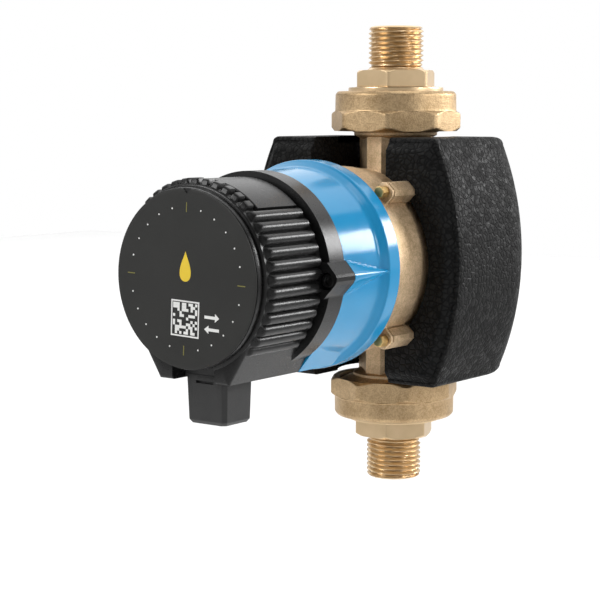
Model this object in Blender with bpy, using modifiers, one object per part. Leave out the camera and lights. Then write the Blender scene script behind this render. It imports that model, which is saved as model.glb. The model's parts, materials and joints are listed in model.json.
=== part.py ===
"""Domestic hot-water circulator pump with a ball rotor, as an assembly of separate pieces.

Z runs up the pipe. The origin is the centre of the inlet nipple's end face, and the motor
points towards -Y. Lengths below are in millimetres; the mesh helpers turn them into metres.
"""

from math import acos, atan2, cos, degrees, hypot, pi, radians, sin, sqrt

import bmesh
import bpy
from mathutils import Matrix, Vector

for old in list(bpy.data.objects):
    bpy.data.objects.remove(old, do_unlink=True)

MM = 0.001
GAP = 0.3                      # air left between pieces that touch
OVERSHOOT = 1.0                # how far a cutter runs past the face it opens

# ---------------------------------------------------------------- driving dimensions
# Housing: the casting between the two union joints.
INSTALL_LENGTH = 110.0         # end face to end face, the standard short circulator length
UNION_THREAD_R = 20.9          # G 1 1/4 male thread, crest radius
UNION_THREAD_LENGTH = 6.5
FLARE_LENGTH = 2.0             # cone from the round foot of the thread out to its crests
THREAD_FOOT_R = 15.8           # round foot where the neck meets the thread
NECK_FACET_DISTANCE = 14.4     # small facets of the neck, facing along X and Y
NECK_FACET_HALF_WIDTH = 3.2
PIPE_BORE_R = 8.0
VALVE_BORE_R = 9.6             # wider outlet bore that takes the non-return valve
VALVE_SEAT_DEPTH = 19.0        # seat below the outlet end face
VALVE_SEAT_R = 6.4
VALVE_DISC_R = 8.2
VALVE_STEM_R = 1.2
CAGE_LENGTH = 5.0
SPRING_WIRE_R = 0.4
SPRING_R = 3.4
SPRING_TURNS = 5

DRUM_R = 34.6
DRUM_FRONT = 52.2              # forward of the pipe axis
DRUM_STEP = 33.5               # the motor ring meets the casting's flange here
DRUM_FLANGE = 8.0              # length of the casting's flange behind the ring
FLANGE_SETBACK = 0.9           # the flange is this much smaller than the ring
RING_WALL = 2.9
DRUM_BACK = 12.0
IMPELLER_ROOM = 4.0            # chamber wall outside the impeller
CHAMBER_DEPTH = 13.5
SEAL_LAND = 1.4                # solid wall on each side of the sealing groove
SEAL_GROOVE_DEPTH = 2.4
OUTLET_DUCT_R = 6.0
OUTLET_DUCT_HEIGHT = 19.0

LUG_HALF_WIDTH = 3.4           # squared boss round each flange bolt
LUG_REACH = 2.6                # how far it stands out past the bolt's axis
LUG_CORNER = 1.4
LUG_FOOT_SETBACK = 1.2         # the foot is this much lower than its lug
LUG_REAR = 31.8                # just in front of the foam
LUG_FRONT = 44.6
LUG_ROOT = 1.5                 # a lug or tab starts this deep inside the wall it stands on
LUG_RIB_RISE = 0.5             # the rib behind each lug stands this proud of the ring
TAB_THICKNESS = 1.3            # tab of the motor ring under each bolt head
BOLT_AIR = 0.5                 # between a bolt's head and the ring
BOLT_SHANK_R = 1.5
BOLT_HEAD_R = 2.2
BOLT_HEAD_HEIGHT = 3.6
BOLT_ENGAGEMENT = 8.5          # thread in the casting's lug

# Unions: nut, nipple and gasket at each end.
NUT_WALL = 2.1                 # half the flats beyond the thread
NUT_HEX_LENGTH = 7.3
NUT_LENGTH = 15.0
NUT_LIP = 1.7
NUT_BACK = 8.0                 # the nut reaches this far back over the housing thread
NIPPLE_FLANGE = 2.7
NIPPLE_SHOULDER_RISE = 1.4     # shoulder above the nut's lip
NIPPLE_HEX_FLATS = 27.0
NIPPLE_HEX_TURN = -8.0         # where the hexagon's first corner points
NIPPLE_COLLAR_LENGTH = 6.4
NIPPLE_THREAD_R = 10.4         # R 1/2 male thread, crest radius
NIPPLE_THREAD_LENGTH = 16.5
NIPPLE_END_CHAMFER = 1.0
GASKET_THICKNESS = 1.7
INLET_NUT_TURN = 22.2          # how far round each nut stopped when it was tightened
OUTLET_NUT_TURN = 3.7

# Motor: separating shell, ball rotor, stator and the blue housing.
MOTOR_RIM_OVERHANG = 2.8       # the blue rim stands this proud of the ring
MOTOR_RIM_LENGTH = 6.4
MOTOR_BODY_REAR_R = 35.0
MOTOR_BODY_FRONT_R = 33.7
MOTOR_LENGTH = 28.8
MOTOR_WALL = 1.8
SHELL_R = 24.0                 # outside of the separating dome
SHELL_WALL = 0.8
ROTOR_CLEARANCE = 0.6
BALL_R = 3.2
PIN_R = 1.6
IMPELLER_R = 22.0
VANES = 7
STATOR_TEETH = 6
STATOR_LENGTH = 9.0
TOOTH_WIDTH = 7.0
TOOTH_SETBACK = 1.5            # teeth are this much shorter than the core at each end
COIL_BUILD = 2.5               # thickness of the winding on each side of a tooth
WIRE_HOLE_R = 6.0

# Controls: the black housing, the dial and what is behind it.
CONTROL_RIM_R = 34.4
CONTROL_RIM_LENGTH = 8.5
CONTROL_ROOT_R = 31.1          # floor between the ribs
CONTROL_SMOOTH_R = 32.5        # plain band over the top
CONTROL_LENGTH = 38.6
CONTROL_WALL = 2.6
RIB_R = 1.9
RIB_PITCH = 8.0                # degrees
FULL_RIBS = range(6, 19)       # counted down each side from 12 o'clock; nearer ones are stubs
BOX_HALF_WIDTH = 14.8          # flat underside of the terminal box
BOX_DEPTH = 32.6
DIAL_R = 30.0
DIAL_THICKNESS = 2.0
FOIL_THICKNESS = 0.5
LUG_TOP = 5.0                  # side screw lug: flat top, sloping underside
LUG_BOTTOM = -7.2
LUG_TIP = 38.6
CONTROL_SCREW_X = 34.3
CONTROL_SCREW_DROP = -1.2
CONTROL_SCREW_HEAD_R = 2.6
CONTROL_SCREW_R = 1.3
RIB_GROOVE = 1.9               # groove between the rim and the ribs
RIB_SETBACK = 1.8              # ribs end this far behind the front
STUB_LENGTH = 3.4              # ribs over the top are cut back to stubs
HUB_R = 4.1                    # hub of the dial, and the hole that it turns in
SHAFT_R = 2.0                  # potentiometer shaft

# Plug under the terminal box.
PLUG_FORWARD = 106.0
PLUG_WIDTH = 17.6
PLUG_DEPTH = 15.6
PLUG_LENGTH = 16.8
PLUG_CORNER = 1.4
TONGUE_DEPTH = 4.0             # plug's front panel, which rises into a notch in the box
NOTCH_TOP = 28.9               # below the motor axis
LATCH_DROP = 2.4
INSERT_WIDTH = 15.0
INSERT_DEPTH = 11.0
INSERT_SETBACK = 8.0           # where the insert's flank meets the round inside of the box
GROMMET_R = 4.6
GROMMET_BORE_R = 2.6
MAINS_PIN_R = 0.9
MAINS_PIN_SPACING = 4.2

# Insulation: two foam half shells that meet behind the housing.
FOAM_HALF_WIDTH = 46.9
FOAM_SIDE_R = 98.0             # the outer side is an arc of this radius
FOAM_END_CLEARANCE = 10.0      # foam ends this far short of the housing's end faces
FOAM_FRONT = 31.5
FOAM_BACK = 30.0
FOAM_EDGE = 2.0
FOAM_REAR_ROUND = 20.0
CHANNEL_HALF_WIDTH = 16.8

# ---------------------------------------------------------------- derived places
HALF = INSTALL_LENGTH / 2
NUT_INNER = HALF - NUT_BACK
NUT_OUTER = NUT_INNER + NUT_LENGTH
FLANGE_OUTER = NUT_OUTER - NUT_LIP - GAP
FLANGE_INNER = FLANGE_OUTER - NIPPLE_FLANGE
COLLAR_INNER = NUT_OUTER + NIPPLE_SHOULDER_RISE
COLLAR_OUTER = COLLAR_INNER + NIPPLE_COLLAR_LENGTH
AXIS_HEIGHT = COLLAR_OUTER + NIPPLE_THREAD_LENGTH      # motor axis above the origin

MOTOR_REAR = DRUM_FRONT + GAP
MOTOR_FRONT = MOTOR_REAR + MOTOR_LENGTH
CONTROL_REAR = MOTOR_FRONT + GAP
CONTROL_FRONT = CONTROL_REAR + CONTROL_LENGTH
DIAL_REAR = CONTROL_FRONT + GAP
DIAL_FRONT = DIAL_REAR + DIAL_THICKNESS
BALL_FORWARD = DRUM_FRONT + 2.0                        # centre of the ball, rotor and dome
FOAM_HALF_HEIGHT = HALF - FOAM_END_CLEARANCE
FLANGE_R = DRUM_R - FLANGE_SETBACK
SPIGOT_R = DRUM_R - RING_WALL - GAP                    # chamber wall inside the motor ring
CHAMBER_R = IMPELLER_R + IMPELLER_ROOM
SEAL_GROOVE_INNER_R = CHAMBER_R + SEAL_LAND
SEAL_GROOVE_OUTER_R = SPIGOT_R - SEAL_LAND
SHELL_FLANGE_R = SPIGOT_R + 1.6
MOTOR_RIM_R = DRUM_R + MOTOR_RIM_OVERHANG
LUG_ROOT_R = DRUM_R - LUG_ROOT
LUG_RIB_R = DRUM_R + LUG_RIB_RISE
BOLT_CIRCLE_R = DRUM_R + BOLT_AIR + BOLT_HEAD_R
BOLT_OFFSET = BOLT_CIRCLE_R / sqrt(2)
NUT_ACROSS_FLATS = 2 * (UNION_THREAD_R + NUT_WALL)     # 46 mm spanner
NUT_ROUND_R = NUT_ACROSS_FLATS / 2
NIPPLE_FLANGE_R = UNION_THREAD_R - 1.2
NIPPLE_SHOULDER_R = NIPPLE_FLANGE_R - 1.7              # the nut's lip bears on the flange
BOLT_TIP = LUG_FRONT - BOLT_ENGAGEMENT

PARTS = bpy.data.collections.new("circulator_pump")
CUTTERS = bpy.data.collections.new("cutters")
bpy.context.scene.collection.children.link(PARTS)
bpy.context.scene.collection.children.link(CUTTERS)

# Two places for a piece: local Z up the pipe, or local Z forward along the motor axis.
PIPE_FRAME = Matrix.Translation(Vector((0, 0, AXIS_HEIGHT * MM)))
MOTOR_FRAME = PIPE_FRAME @ Matrix.Rotation(radians(90), 4, "X")


# ---------------------------------------------------------------- materials
def material(name, colour, roughness, metallic=0.0):
    made = bpy.data.materials.new(name)
    made.use_nodes = True
    shader = made.node_tree.nodes["Principled BSDF"]
    shader.inputs["Base Color"].default_value = (*colour, 1.0)
    shader.inputs["Roughness"].default_value = roughness
    shader.inputs["Metallic"].default_value = metallic
    made.diffuse_color = (*colour, 1.0)
    return made


BRASS = material("brass", (0.55, 0.38, 0.18), 0.42, 1.0)
STEEL = material("steel", (0.60, 0.60, 0.60), 0.35, 1.0)
BLUE = material("blue_plastic", (0.03, 0.27, 0.56), 0.28)
BLACK = material("black_plastic", (0.02, 0.02, 0.02), 0.45)
DIAL_GREY = material("dial_grey", (0.045, 0.045, 0.042), 0.6)
FOAM = material("foam", (0.018, 0.018, 0.018), 0.9)
RUBBER = material("rubber", (0.02, 0.02, 0.02), 0.8)
FIBRE = material("fibre", (0.09, 0.22, 0.10), 0.8)
CERAMIC = material("ceramic", (0.85, 0.84, 0.80), 0.2)
FERRITE = material("ferrite", (0.05, 0.05, 0.055), 0.5)
CORE = material("core_steel", (0.25, 0.25, 0.27), 0.5, 0.9)
COPPER = material("copper", (0.72, 0.33, 0.14), 0.4, 0.9)
IVORY = material("ivory_plastic", (0.68, 0.65, 0.56), 0.5)
BOARD = material("board", (0.03, 0.22, 0.08), 0.5)


# ---------------------------------------------------------------- mesh helpers
def place(name, mesh, frame, surface=None):
    """Link a mesh as a piece, or as a cutter where it has no surface material."""
    thing = bpy.data.objects.new(name, mesh)
    thing.matrix_world = frame
    if surface is None:
        CUTTERS.objects.link(thing)
        thing.hide_render = True
        thing.display_type = "WIRE"
    else:
        PARTS.objects.link(thing)
        mesh.materials.append(surface)
    return thing


def finish(name, work, frame, surface):
    bmesh.ops.recalc_face_normals(work, faces=work.faces)
    mesh = bpy.data.meshes.new(name)
    work.to_mesh(mesh)
    work.free()
    return place(name, mesh, frame, surface)


def turned(name, profile, frame, surface=None, steps=32, ring=False):
    """Turn a profile of (radius, height) points, listed down the outer side, about Z."""
    mesh = bpy.data.meshes.new(name)
    count = len(profile)
    links = [(i, i + 1) for i in range(count - 1)]
    if ring:
        links.append((count - 1, 0))
    mesh.from_pydata([(r * MM, 0, h * MM) for r, h in profile], links, [])
    thing = place(name, mesh, frame, surface)
    screw = thing.modifiers.new("turn", "SCREW")
    screw.angle = 2 * pi
    screw.steps = screw.render_steps = steps
    screw.use_merge_vertices = True
    screw.merge_threshold = 0.00001
    screw.use_smooth_shade = False
    return thing


def rod(name, radius, low, high, frame, surface=None, steps=24, chamfer=0.0):
    """A solid round bar from low to high, with an optional chamfer at both ends."""
    if chamfer:
        profile = [(0, high), (radius - chamfer, high), (radius, high - chamfer),
                   (radius, low + chamfer), (radius - chamfer, low), (0, low)]
    else:
        profile = [(0, high), (radius, high), (radius, low), (0, low)]
    return turned(name, profile, frame, surface, steps)


def tube(name, outer, inner, low, high, frame, surface=None, steps=32):
    profile = [(outer, high), (outer, low), (inner, low), (inner, high)]
    return turned(name, profile, frame, surface, steps, ring=True)


def prism(name, outline, low, high, frame, surface=None):
    """Extrude a flat outline of (x, y) points from low to high along local Z."""
    work = bmesh.new()
    corners = [work.verts.new((x * MM, y * MM, low * MM)) for x, y in outline]
    base = work.faces.new(corners)
    grown = bmesh.ops.extrude_face_region(work, geom=[base])
    top = [item for item in grown["geom"] if isinstance(item, bmesh.types.BMVert)]
    bmesh.ops.translate(work, verts=top, vec=(0, 0, (high - low) * MM))
    return finish(name, work, frame, surface)


def block(name, size, centre, frame, surface=None, chamfer=0.0):
    work = bmesh.new()
    bmesh.ops.create_cube(work, size=1.0)
    bmesh.ops.scale(work, vec=[s * MM for s in size], verts=work.verts)
    bmesh.ops.translate(work, vec=[c * MM for c in centre], verts=work.verts)
    if chamfer:
        bmesh.ops.bevel(work, geom=work.edges[:], offset=chamfer * MM, segments=1,
                        affect="EDGES")
    return finish(name, work, frame, surface)


def loft(name, sections, frame, surface=None):
    """Skin a row of unlike sections that have the same number of (x, y, z) points."""
    work = bmesh.new()
    rows = [[work.verts.new([c * MM for c in point]) for point in row] for row in sections]
    count = len(rows[0])
    for near, far in zip(rows, rows[1:]):
        for i in range(count):
            j = (i + 1) % count
            work.faces.new((near[i], near[j], far[j], far[i]))
    work.faces.new(rows[0])
    work.faces.new(rows[-1])
    bmesh.ops.triangulate(work, faces=work.faces)
    return finish(name, work, frame, surface)


def hull(name, points, frame, surface=None):
    work = bmesh.new()
    for point in points:
        work.verts.new([c * MM for c in point])
    made = bmesh.ops.convex_hull(work, input=work.verts)
    loose = [item for item in made["geom_interior"] if isinstance(item, bmesh.types.BMVert)]
    bmesh.ops.delete(work, geom=loose, context="VERTS")
    return finish(name, work, frame, surface)


def combine(thing, others, operation):
    for other in others:
        step = thing.modifiers.new(operation.lower() + "_" + other.name, "BOOLEAN")
        step.operation = operation
        step.object = other
        step.solver = "EXACT"


def join(thing, *others):
    combine(thing, others, "UNION")


def cut(thing, *others):
    combine(thing, others, "DIFFERENCE")


def keep(thing, *others):
    combine(thing, others, "INTERSECT")


def shifted(frame, x=0.0, y=0.0, z=0.0):
    return frame @ Matrix.Translation(Vector((x * MM, y * MM, z * MM)))


def turned_frame(frame, angle):
    """A frame turned about its own Z by an angle in degrees."""
    return frame @ Matrix.Rotation(radians(angle), 4, "Z")


def arc(radius, start, end, count, centre=(0.0, 0.0)):
    steps = [start + (end - start) * i / (count - 1) for i in range(count)]
    return [(centre[0] + radius * cos(radians(a)), centre[1] + radius * sin(radians(a)))
            for a in steps]


# ---------------------------------------------------------------- pump housing
def neck_outline():
    far, near = NECK_FACET_DISTANCE, NECK_FACET_HALF_WIDTH
    return [(far, -near), (far, near), (near, far), (-near, far),
            (-far, near), (-far, -near), (-near, -far), (near, -far)]


def bolt_places():
    return [(sx * BOLT_OFFSET, sy * BOLT_OFFSET) for sx, sy in ((1, 1), (-1, 1), (-1, -1), (1, -1))]


def lug_outline(inner_r, outer_r, half):
    """Squared boss between two radii; the bolt is at the origin and local X points outwards."""
    inner, reach = inner_r - BOLT_CIRCLE_R, outer_r - BOLT_CIRCLE_R
    return [(inner, -half), (reach - LUG_CORNER, -half), (reach, LUG_CORNER - half),
            (reach, half - LUG_CORNER), (reach - LUG_CORNER, half), (inner, half)]


def lugs(name, inner_r, outer_r, half, low, high):
    """Four bosses, one at each bolt, from low to high along the motor axis."""
    made = []
    for number, (x, y) in enumerate(bolt_places(), 1):
        frame = turned_frame(shifted(MOTOR_FRAME, x, y), degrees(atan2(y, x)))
        outline = lug_outline(inner_r, outer_r, half)
        made.append(prism(f"{name}_{number}", outline, low, high, frame))
    return made


def bolt_holes(name, low, high):
    return [rod(f"{name}_{number}", BOLT_SHANK_R + GAP, low, high, shifted(MOTOR_FRAME, x, y),
                steps=16) for number, (x, y) in enumerate(bolt_places(), 1)]


def pump_housing():
    """Brass casting: faceted neck, union threads, and a flange and spigot for the motor."""
    drum = turned("pump_housing", [
        (0, DRUM_FRONT), (SPIGOT_R - 0.4, DRUM_FRONT), (SPIGOT_R, DRUM_FRONT - 0.4),
        (SPIGOT_R, DRUM_STEP), (FLANGE_R, DRUM_STEP), (FLANGE_R, DRUM_STEP - DRUM_FLANGE),
        (DRUM_R - 8, DRUM_BACK), (0, DRUM_BACK)], MOTOR_FRAME, BRASS, steps=48)
    foot = HALF - UNION_THREAD_LENGTH - FLARE_LENGTH
    neck = prism("neck", neck_outline(), -foot - 1.0, foot + 1.0, PIPE_FRAME)
    ends = []
    for side in (1, -1):
        profile = [(0, HALF), (UNION_THREAD_R - 0.8, HALF), (UNION_THREAD_R, HALF - 0.8),
                   (UNION_THREAD_R, foot + FLARE_LENGTH), (THREAD_FOOT_R, foot),
                   (THREAD_FOOT_R, foot - 1.0), (NECK_FACET_DISTANCE - 1.5, foot - 2.5),
                   (0, foot - 2.5)]
        if side < 0:
            profile = [(r, -h) for r, h in reversed(profile)]
        ends.append(turned(f"union_thread_{side}", profile, PIPE_FRAME))
    half, outer = LUG_HALF_WIDTH, BOLT_CIRCLE_R + LUG_REACH
    join(drum, neck, *ends,
         *lugs("lug_rib", LUG_ROOT_R, LUG_RIB_R, half - 0.8, DRUM_STEP - DRUM_FLANGE + 0.1,
               LUG_REAR + 0.5),
         *lugs("lug_foot", LUG_ROOT_R, outer - LUG_FOOT_SETBACK, half - 0.4, LUG_REAR + 0.2, DRUM_STEP - 0.1),
         *lugs("lug", DRUM_R + GAP, outer, half, LUG_REAR, LUG_FRONT))

    chamber_back = DRUM_FRONT - CHAMBER_DEPTH
    outlet_bore_low = OUTLET_DUCT_HEIGHT - OUTLET_DUCT_R
    seat = HALF - VALVE_SEAT_DEPTH
    cutters = [
        rod("chamber", CHAMBER_R, chamber_back, DRUM_FRONT + OVERSHOOT, MOTOR_FRAME, steps=48),
        rod("inlet_eye", PIPE_BORE_R, -2.3, chamber_back + OVERSHOOT, MOTOR_FRAME, steps=24),
        rod("inlet_bore", PIPE_BORE_R + 0.2, -HALF - OVERSHOOT, 3.1, PIPE_FRAME, steps=24),
        rod("outlet_duct", OUTLET_DUCT_R, -1.7, chamber_back + OVERSHOOT,
            shifted(MOTOR_FRAME, y=OUTLET_DUCT_HEIGHT), steps=24),
        rod("outlet_bore", VALVE_SEAT_R, outlet_bore_low + 0.5, seat + OVERSHOOT,
            PIPE_FRAME, steps=24),
        rod("valve_bore", VALVE_BORE_R, seat, HALF + OVERSHOOT, PIPE_FRAME, steps=32),
        tube("seal_groove", SEAL_GROOVE_OUTER_R, SEAL_GROOVE_INNER_R,
             DRUM_FRONT - SEAL_GROOVE_DEPTH, DRUM_FRONT + OVERSHOOT, MOTOR_FRAME),
    ]
    cut(drum, *cutters, *bolt_holes("bolt_hole", BOLT_TIP - GAP, LUG_FRONT + OVERSHOOT))
    tube("housing_o_ring", SEAL_GROOVE_OUTER_R - GAP, SEAL_GROOVE_INNER_R + GAP,
         DRUM_FRONT - SEAL_GROOVE_DEPTH + GAP, DRUM_FRONT - 0.1, MOTOR_FRAME, RUBBER)


def motor_ring():
    """Brass ring under the motor's rim; bolts clamp its four tabs to the casting's lugs."""
    rear = DRUM_STEP + GAP
    inner = SPIGOT_R + GAP
    ring = turned("motor_ring", [
        (inner, DRUM_FRONT), (DRUM_R - 0.6, DRUM_FRONT), (DRUM_R, DRUM_FRONT - 0.6),
        (DRUM_R, rear + 0.4), (DRUM_R - 0.4, rear), (inner, rear)],
        MOTOR_FRAME, BRASS, steps=48, ring=True)
    tab_rear = LUG_FRONT + GAP
    tab_front = tab_rear + TAB_THICKNESS
    join(ring, *lugs("ring_tab", LUG_ROOT_R, BOLT_CIRCLE_R + LUG_REACH, LUG_HALF_WIDTH,
                     tab_rear, tab_front))
    cut(ring, *bolt_holes("tab_hole", tab_rear - OVERSHOOT, tab_front + OVERSHOOT))


def flange_bolts():
    """Four hexagon bolts, just outside the motor's rim."""
    seat = LUG_FRONT + TAB_THICKNESS + 2 * GAP
    top = seat + BOLT_HEAD_HEIGHT
    for number, (x, y) in enumerate(bolt_places(), 1):
        frame = shifted(MOTOR_FRAME, x, y)
        bolt = turned(f"flange_bolt_{number}", [
            (0, seat + 1.0), (BOLT_SHANK_R, seat + 1.0), (BOLT_SHANK_R, BOLT_TIP + 0.5),
            (BOLT_SHANK_R - 0.5, BOLT_TIP), (0, BOLT_TIP)], frame, STEEL, steps=16)
        head = rod(f"bolt_head_{number}", BOLT_HEAD_R, seat, top, frame, steps=6)
        dished = turned(f"bolt_head_corners_{number}", [
            (0, top), (BOLT_HEAD_R - 0.4, top), (BOLT_HEAD_R + 0.2, top - 0.5),
            (BOLT_HEAD_R + 0.2, seat - 1.0), (0, seat - 1.0)], frame, steps=24)
        keep(head, dished)
        join(bolt, head)


# ---------------------------------------------------------------- unions
def union(prefix, side, nut_turn):
    """Nut, nipple and gasket of one end; side is 1 at the outlet and -1 at the inlet."""
    frame = PIPE_FRAME if side > 0 else PIPE_FRAME @ Matrix.Rotation(pi, 4, "X")
    lip = NUT_OUTER - NUT_LIP
    hex_outer = NUT_INNER + NUT_HEX_LENGTH
    flat = NUT_ACROSS_FLATS / 2
    corner = flat / cos(radians(22.5))

    outline = [(corner * cos(radians(22.5 + 45 * i)), corner * sin(radians(22.5 + 45 * i)))
               for i in range(8)]
    nut_frame = turned_frame(frame, -90 + nut_turn if side > 0 else 90 - nut_turn)
    nut = prism(f"{prefix}_union_nut", outline, NUT_INNER, hex_outer, nut_frame, BRASS)
    keep(nut, turned(f"{prefix}_nut_corners", [
        (0, hex_outer + 1), (corner + 1, hex_outer + 1), (corner - 0.3, hex_outer - 0.6),
        (corner - 0.3, NUT_INNER + 1.5), (flat + 0.1, NUT_INNER - 0.3),
        (0, NUT_INNER - 0.3)], nut_frame, steps=48))
    join(nut, turned(f"{prefix}_nut_round", [
        (0, NUT_OUTER), (NUT_ROUND_R - 1.4, NUT_OUTER), (NUT_ROUND_R - 0.4, NUT_OUTER - 0.4),
        (NUT_ROUND_R, NUT_OUTER - 1.4), (NUT_ROUND_R - 0.1, hex_outer - 1.0),
        (0, hex_outer - 1.0)], nut_frame, steps=48))
    cut(nut, turned(f"{prefix}_nut_bore", [
        (0, NUT_OUTER + OVERSHOOT), (NIPPLE_SHOULDER_R + GAP, NUT_OUTER + OVERSHOOT),
        (NIPPLE_SHOULDER_R + GAP, lip), (UNION_THREAD_R + GAP, lip),
        (UNION_THREAD_R + GAP, NUT_INNER - OVERSHOOT), (0, NUT_INNER - OVERSHOOT)], nut_frame))

    nipple = turned(f"{prefix}_nipple", [
        (0, AXIS_HEIGHT), (NIPPLE_THREAD_R - NIPPLE_END_CHAMFER * 0.7, AXIS_HEIGHT),
        (NIPPLE_THREAD_R, AXIS_HEIGHT - NIPPLE_END_CHAMFER),
        (NIPPLE_THREAD_R, COLLAR_INNER), (NIPPLE_SHOULDER_R, COLLAR_INNER),
        (NIPPLE_SHOULDER_R, FLANGE_OUTER), (NIPPLE_FLANGE_R, FLANGE_OUTER),
        (NIPPLE_FLANGE_R, FLANGE_INNER), (0, FLANGE_INNER)], frame, BRASS)
    hex_r = NIPPLE_HEX_FLATS / sqrt(3)
    collar_frame = turned_frame(frame, side * NIPPLE_HEX_TURN)
    collar = rod(f"{prefix}_collar", hex_r, COLLAR_INNER - 0.5, COLLAR_OUTER, collar_frame,
                 steps=6)
    keep(collar, turned(f"{prefix}_collar_corners", [
        (0, COLLAR_OUTER + OVERSHOOT), (hex_r - 2.0, COLLAR_OUTER + 0.2),
        (hex_r + 0.1, COLLAR_OUTER - 1.0), (hex_r + 0.1, COLLAR_INNER - 1.0),
        (0, COLLAR_INNER - 1.0)], collar_frame, steps=48))
    join(nipple, collar)
    cut(nipple, rod(f"{prefix}_nipple_bore", PIPE_BORE_R, FLANGE_INNER - OVERSHOOT,
                    AXIS_HEIGHT + OVERSHOOT, frame))

    gasket_low = HALF + (FLANGE_INNER - HALF - GASKET_THICKNESS) / 2
    tube(f"{prefix}_gasket", UNION_THREAD_R - 1.5, PIPE_BORE_R + 3.0, gasket_low,
         gasket_low + GASKET_THICKNESS, frame, FIBRE)


# ---------------------------------------------------------------- non-return valve
def check_valve():
    """Cone, spring and cage in the outlet bore; flow lifts the cone off its seat."""
    seat = HALF - VALVE_SEAT_DEPTH
    cone_top = seat + 3.0
    cage_low = HALF - CAGE_LENGTH
    turned("check_valve_cone", [
        (0, cage_low + 3.5), (VALVE_STEM_R, cage_low + 3.5), (VALVE_STEM_R, cone_top),
        (VALVE_DISC_R, cone_top), (VALVE_DISC_R, seat + GAP), (VALVE_SEAT_R - 0.8, seat + GAP),
        (3.0, seat - 2.0), (0, seat - 2.0)], PIPE_FRAME, IVORY, steps=32)
    cage = tube("check_valve_cage", VALVE_BORE_R - GAP, VALVE_BORE_R - 1.8, cage_low, HALF - 1.0,
                PIPE_FRAME, IVORY, steps=32)
    spoke = 2 * VALVE_BORE_R - 2.4
    join(cage,
         block("cage_spoke_x", (spoke, 1.8, 2.4), (0, 0, cage_low + 1.8), PIPE_FRAME),
         block("cage_spoke_y", (1.8, spoke, 2.5), (0, 0, cage_low + 1.8), PIPE_FRAME),
         rod("cage_hub", 3.0, cage_low + 0.2, cage_low + 3.4, PIPE_FRAME, steps=16))
    cut(cage, rod("cage_guide", VALVE_STEM_R + GAP, cage_low - OVERSHOOT, HALF, PIPE_FRAME, steps=16))

    low, high = cone_top + SPRING_WIRE_R + GAP, cage_low - SPRING_WIRE_R - GAP
    curve = bpy.data.curves.new("check_valve_spring", "CURVE")
    curve.dimensions = "3D"
    curve.bevel_depth = SPRING_WIRE_R * MM
    curve.bevel_resolution = 1
    curve.use_fill_caps = True
    steps = 12                 # points in one turn
    count = SPRING_TURNS * steps + 1
    spline = curve.splines.new("POLY")
    spline.points.add(count - 1)
    for i, point in enumerate(spline.points):
        angle = 2 * pi * i / steps
        height = low + (high - low) * i / (count - 1)
        point.co = (SPRING_R * cos(angle) * MM, SPRING_R * sin(angle) * MM, height * MM, 1)
    place("check_valve_spring", curve, PIPE_FRAME, STEEL)


# ---------------------------------------------------------------- ball rotor
def dome_profile(radius, rise_from, count=8):
    """Points of a dome round the ball's centre, from its top down to a given height."""
    reach = degrees(acos(max(-1.0, min(1.0, rise_from / radius))))
    return [(radius * sin(radians(reach * i / (count - 1))),
             BALL_FORWARD + radius * cos(radians(reach * i / (count - 1))))
            for i in range(count)]


def separating_shell():
    """Thin steel dome that keeps the water away from the stator."""
    low = DRUM_FRONT + GAP
    high = low + SHELL_WALL
    outside = dome_profile(SHELL_R, high - BALL_FORWARD + 0.6)
    inside = dome_profile(SHELL_R - SHELL_WALL, low - BALL_FORWARD + 0.6)
    profile = outside + [(SHELL_R + 0.6, high), (SHELL_FLANGE_R, high), (SHELL_FLANGE_R, low),
                         (SHELL_R - 0.2, low)] + inside[::-1]
    turned("separating_shell", profile, MOTOR_FRAME, STEEL)


def bearing():
    """Ceramic ball on a pin that stands in from the dome's crown."""
    crown = BALL_FORWARD + SHELL_R - SHELL_WALL - GAP
    ball_top = BALL_FORWARD + BALL_R + GAP
    rod("bearing_pin", PIN_R, ball_top, crown - 0.1, MOTOR_FRAME, STEEL, steps=16)
    profile = [(BALL_R * sin(pi * i / 10), BALL_FORWARD + BALL_R * cos(pi * i / 10))
               for i in range(11)]
    turned("bearing_ball", profile, MOTOR_FRAME, CERAMIC, steps=16)


def rotor():
    """Magnet dome and impeller, which turn together round the ball."""
    dome_r = SHELL_R - SHELL_WALL - ROTOR_CLEARANCE
    hub_top = BALL_FORWARD - 1.0
    outside = dome_profile(dome_r, 1.5)
    magnet = turned("rotor_magnet", outside + [(0, BALL_FORWARD + 1.5)], MOTOR_FRAME, FERRITE)
    cut(magnet, rod("magnet_bore", BALL_R + 1.5, BALL_FORWARD, BALL_FORWARD + dome_r + OVERSHOOT,
                    MOTOR_FRAME, steps=24))

    hub_low = hub_top - 3.2
    impeller_low = DRUM_FRONT - CHAMBER_DEPTH + 1.2
    hub = turned("impeller", [
        (0, BALL_FORWARD + 1.0), (dome_r - 1.2, BALL_FORWARD + 1.0), (dome_r - 1.2, hub_low + 1.6),
        (IMPELLER_R, hub_low + 1.6), (IMPELLER_R, hub_low), (0, hub_low)], MOTOR_FRAME, IVORY)
    vanes = []
    for number in range(VANES):
        frame = turned_frame(MOTOR_FRAME, 360 * number / VANES)
        vanes.append(prism(f"vane_{number}", vane_outline(), impeller_low + 0.6, hub_low + 0.5,
                           frame))
    shroud = tube("shroud", IMPELLER_R, PIPE_BORE_R, impeller_low, impeller_low + 1.2,
                  MOTOR_FRAME)
    join(hub, *vanes, shroud)
    profile = [(0, BALL_FORWARD + 3)] + [
        ((BALL_R + GAP) * sin(radians(a)), BALL_FORWARD + (BALL_R + GAP) * cos(radians(a)))
        for a in range(90, 181, 15)]
    profile.insert(1, (BALL_R + GAP, BALL_FORWARD + 3))
    cut(hub, turned("ball_seat", profile, MOTOR_FRAME, steps=24))


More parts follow.
